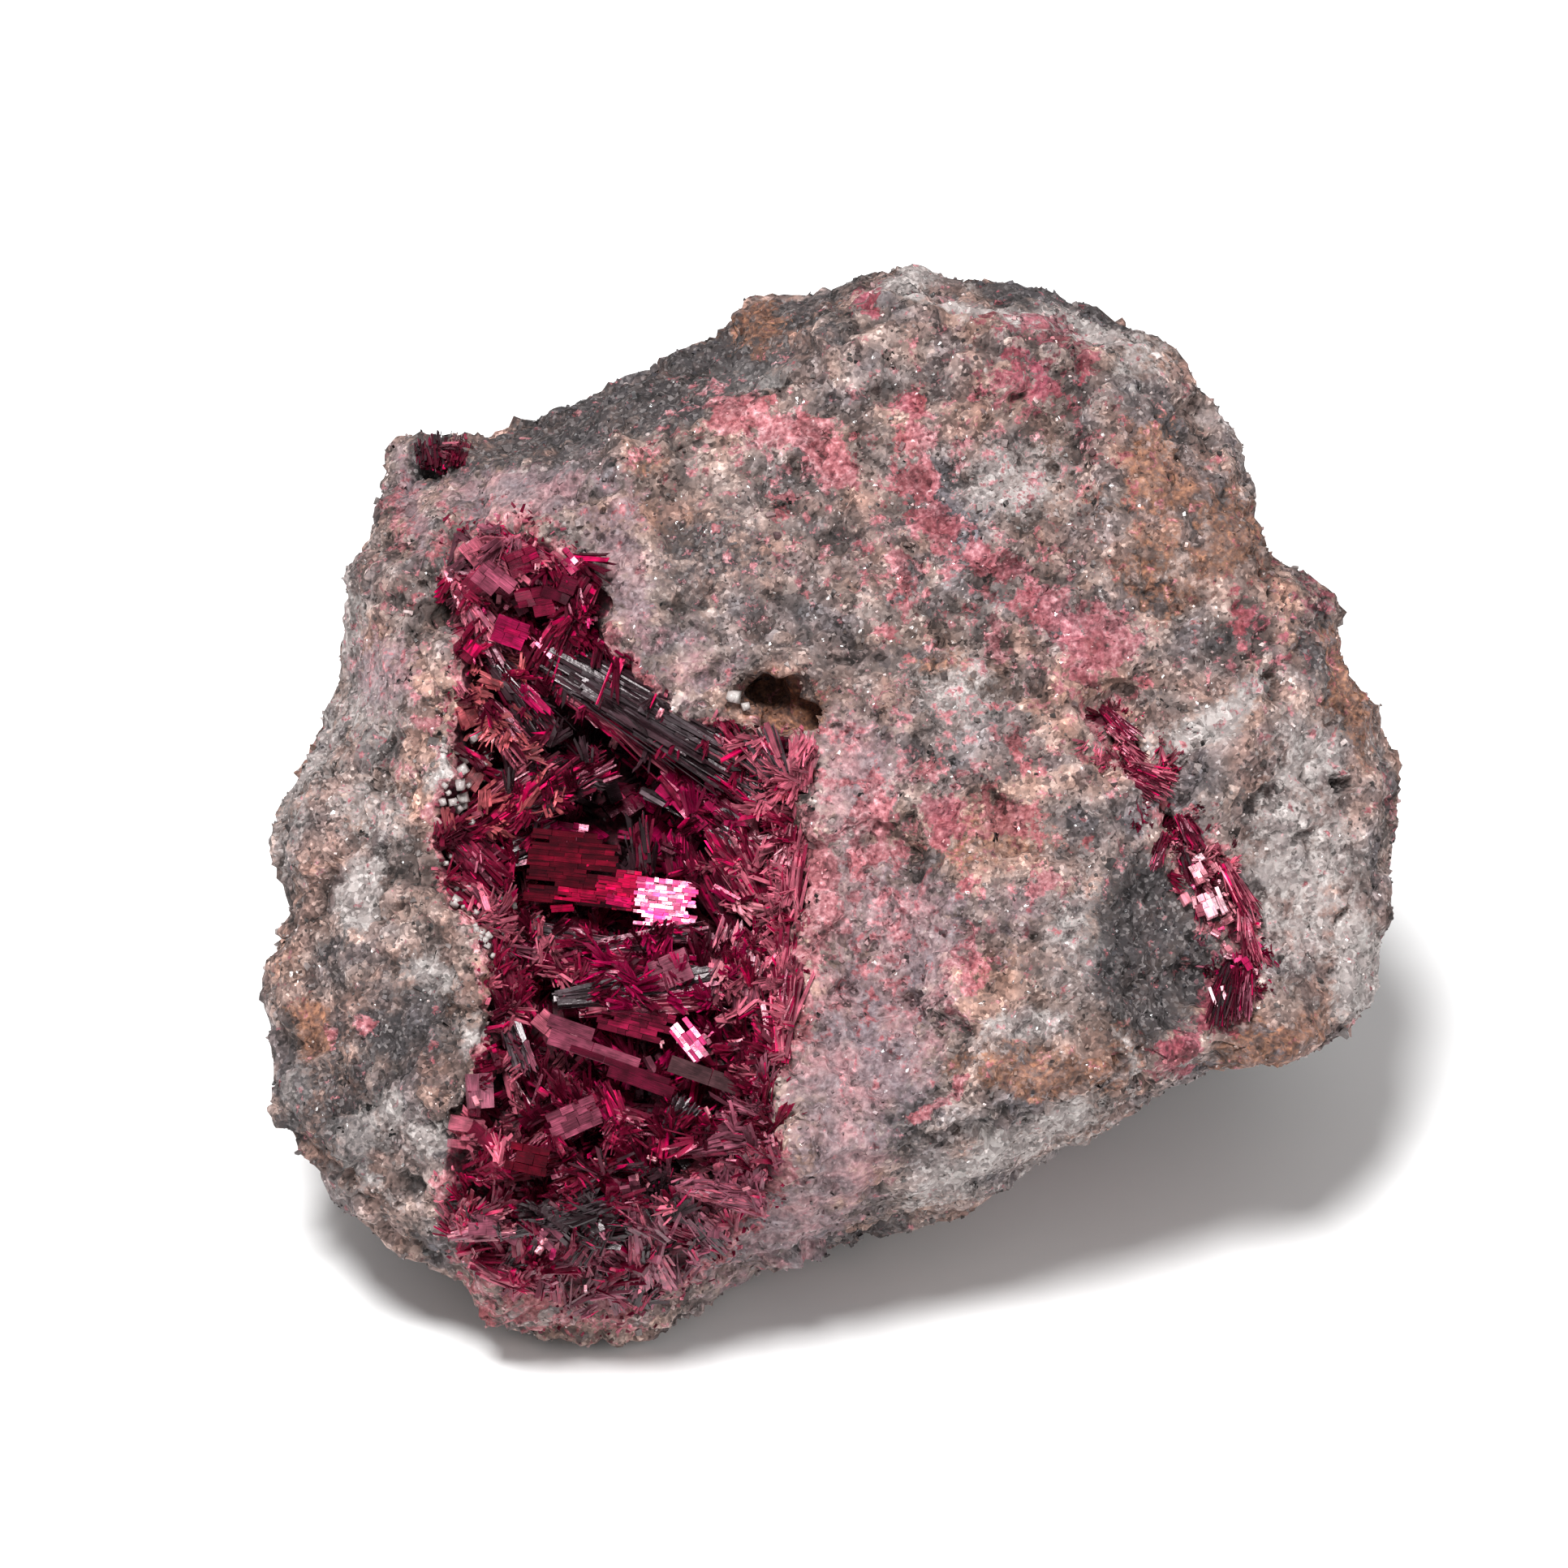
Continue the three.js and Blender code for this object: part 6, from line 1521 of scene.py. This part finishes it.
class StageSettings(bpy.types.PropertyGroup):
    """The floor, the lights and the camera."""

    floor_tint: bpy.props.FloatVectorProperty(
        name="Floor colour", description="Colour of the pale floor",
        default=(0.90, 0.90, 0.90), size=3, subtype="COLOR", min=0.0, max=1.0,
    )
    key_power: bpy.props.FloatProperty(
        name="Key light", description="Power of the key light (W)",
        default=16.0, min=0.0,
    )
    fill_power: bpy.props.FloatProperty(
        name="Fill light", description="Power of the fill light (W)",
        default=2.0, min=0.0,
    )
    sky: bpy.props.FloatProperty(
        name="Sky", description="Strength of the even light from all round",
        default=0.38, min=0.0,
    )
    distance: bpy.props.FloatProperty(
        name="Camera distance", description="From the camera to the block's heart",
        default=0.68, min=0.1, subtype="DISTANCE", unit="LENGTH",
    )
    lens: bpy.props.FloatProperty(
        name="Lens", description="Focal length (mm) on a 36 mm sensor",
        default=197.7, min=20.0, max=500.0,
    )


# Operators


LEAST_ROCK_POINTS = 10000


class BuildRock(bpy.types.Operator):
    """Copy the block finely, roughen it and stain it"""

    bl_idname = "erythrite.build_rock"
    bl_label = "Rock"

    def execute(self, context):
        mesh = build_rock(context.scene.erythrite_rock)
        if len(mesh.vertices) < LEAST_ROCK_POINTS:
            raise RuntimeError("the fine copy of the block came out too coarse")
        add_piece("rock", mesh, rock_material("sugary rock"), ["matrix"])
        return {"FINISHED"}


class BuildGrains(bpy.types.Operator):
    """Strew broken grains over the rock"""

    bl_idname = "erythrite.build_grains"
    bl_label = "Grains"

    def execute(self, context):
        need_rock()
        settings = context.scene.erythrite_rock
        mesh = build_grains(settings.grain_count, settings.grain_size)
        add_piece("grains", mesh, grain_material("broken grains"), [])
        return {"FINISHED"}


class BuildVug(bpy.types.Operator):
    """Fill the vug with sheaves, cleavage plates and a bed of small blades"""

    bl_idname = "erythrite.build_vug"
    bl_label = "Vug crystals"

    def execute(self, context):
        need_rock()
        settings = context.scene.erythrite_crystals
        blades = crystal_material("erythrite blades", settings.gloss, 0.012)
        plates = crystal_material("cleavage plates", settings.gloss * 0.6, 0.003)
        sheaves = build_rows(sheaf, SHEAVES, 3)
        add_piece("vug_sheaves", sheaves, blades, ["vug_erythrite"])
        add_piece("vug_offshoots", build_offshoots(sheaves[0], settings.offshoot_count), blades)
        add_piece("vug_plates", build_rows(plate, PLATES, 4), plates)
        add_piece("vug_druse", build_druse(settings.druse_count), blades)
        return {"FINISHED"}


class BuildFissure(bpy.types.Operator):
    """Line the fissure and the corner pocket with blades"""

    bl_idname = "erythrite.build_fissure"
    bl_label = "Fissure crystals"

    def execute(self, context):
        need_rock()
        settings = context.scene.erythrite_crystals
        blades = crystal_material("fissure blades", settings.gloss, 0.010)
        fissure = build_fissure(settings.fissure_count)
        add_piece("fissure_sprays", fissure, blades, ["fissure_erythrite"])
        add_piece("corner_sheaves", build_rows(sheaf, CORNER_SHEAVES, 9), blades)
        return {"FINISHED"}


class BuildQuartz(bpy.types.Operator):
    """Set milky quartz grains along the vug's left rim"""

    bl_idname = "erythrite.build_quartz"
    bl_label = "Quartz grains"

    def execute(self, context):
        need_rock()
        mesh = quad_mesh("quartz_grains", *build_quartz(context.scene.erythrite_crystals.quartz_count))
        mesh.shade_smooth()
        add_piece("quartz_grains", mesh, quartz_material("milky quartz"), [])
        return {"FINISHED"}


# The stage: half the floor's side in mm, the rest in metres.
FLOOR_HALF = 1500
BLOCK_MIDDLE = (0, 0, 0.03)
KEY_PLACE, KEY_SIZE = (-0.14, -0.37, 0.96), 0.30
FILL_PLACE, FILL_SIZE = (0.75, -0.45, 0.45), 0.6


def aim(piece, place, target):
    """Stand a light or a camera at a place, looking at a target (both in metres)."""
    piece.location = Vector(place)
    piece.rotation_euler = (Vector(target) - Vector(place)).to_track_quat("-Z", "Y").to_euler()


def add_light(name, place, size, power):
    """A round, white, soft light aimed at the block's middle."""
    lamp = bpy.data.lights.new(name, "AREA")
    lamp.shape = "DISK"
    lamp.size = size
    lamp.energy = power
    aim(link(name, lamp), place, BLOCK_MIDDLE)


class BuildStage(bpy.types.Operator):
    """Lay the floor and place the lights and the camera"""

    bl_idname = "erythrite.build_stage"
    bl_label = "Stage"

    def execute(self, context):
        settings = context.scene.erythrite_stage
        corners = FLOOR_HALF * np.array([(-1, -1, 0), (1, -1, 0), (1, 1, 0), (-1, 1, 0)])
        floor = link("floor", quad_mesh("floor", corners, np.array([(0, 1, 2, 3)])))
        floor.data.materials.append(floor_material("pale floor", settings.floor_tint))
        add_light("key", KEY_PLACE, KEY_SIZE, settings.key_power)
        add_light("fill", FILL_PLACE, FILL_SIZE, settings.fill_power)
        world = bpy.data.worlds.new("even sky")
        world.use_nodes = True
        sky = world.node_tree.nodes["Background"].inputs
        sky["Color"].default_value = (1, 1, 1, 1)
        sky["Strength"].default_value = settings.sky
        context.scene.world = world
        context.scene.view_settings.view_transform = "Standard"

        camera = bpy.data.cameras.new("camera")
        camera.lens = settings.lens
        camera.sensor_width = 36.0
        piece = link("camera", camera)
        eye = HEART * MM + TOWARD * settings.distance
        target = (HEART - 3.9 * RIGHT + 1.5 * UP) * MM
        aim(piece, eye, target)
        context.scene.camera = piece
        return {"FINISHED"}


OPERATORS = (BuildRock, BuildGrains, BuildVug, BuildFissure, BuildQuartz, BuildStage)


class ErythritePanel(bpy.types.Panel):
    """Lists the settings and the steps in the order they run"""

    bl_idname = "VIEW3D_PT_erythrite"
    bl_label = "Erythrite on Matrix"
    bl_space_type = "VIEW_3D"
    bl_region_type = "UI"
    bl_category = "Erythrite"

    def draw(self, context):
        scene = context.scene
        for group in (scene.erythrite_rock, scene.erythrite_crystals, scene.erythrite_stage):
            box = self.layout.box()
            for key in group.__annotations__:
                box.prop(group, key)
        for operator in OPERATORS:
            self.layout.operator(operator.bl_idname)


CLASSES = (RockSettings, CrystalSettings, StageSettings, *OPERATORS, ErythritePanel)


def register():
    """Makes the classes and the three groups of settings known to Blender."""
    for cls in CLASSES:
        bpy.utils.register_class(cls)
    bpy.types.Scene.erythrite_rock = bpy.props.PointerProperty(type=RockSettings)
    bpy.types.Scene.erythrite_crystals = bpy.props.PointerProperty(type=CrystalSettings)
    bpy.types.Scene.erythrite_stage = bpy.props.PointerProperty(type=StageSettings)


def unregister():
    """Takes back all that register made known."""
    del bpy.types.Scene.erythrite_stage
    del bpy.types.Scene.erythrite_crystals
    del bpy.types.Scene.erythrite_rock
    for cls in reversed(CLASSES):
        bpy.utils.unregister_class(cls)


def main():
    """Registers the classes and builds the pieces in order."""
    register()
    bpy.ops.erythrite.build_rock()
    bpy.ops.erythrite.build_grains()
    bpy.ops.erythrite.build_vug()
    bpy.ops.erythrite.build_fissure()
    bpy.ops.erythrite.build_quartz()
    bpy.ops.erythrite.build_stage()


if __name__ == "__main__":
    main()
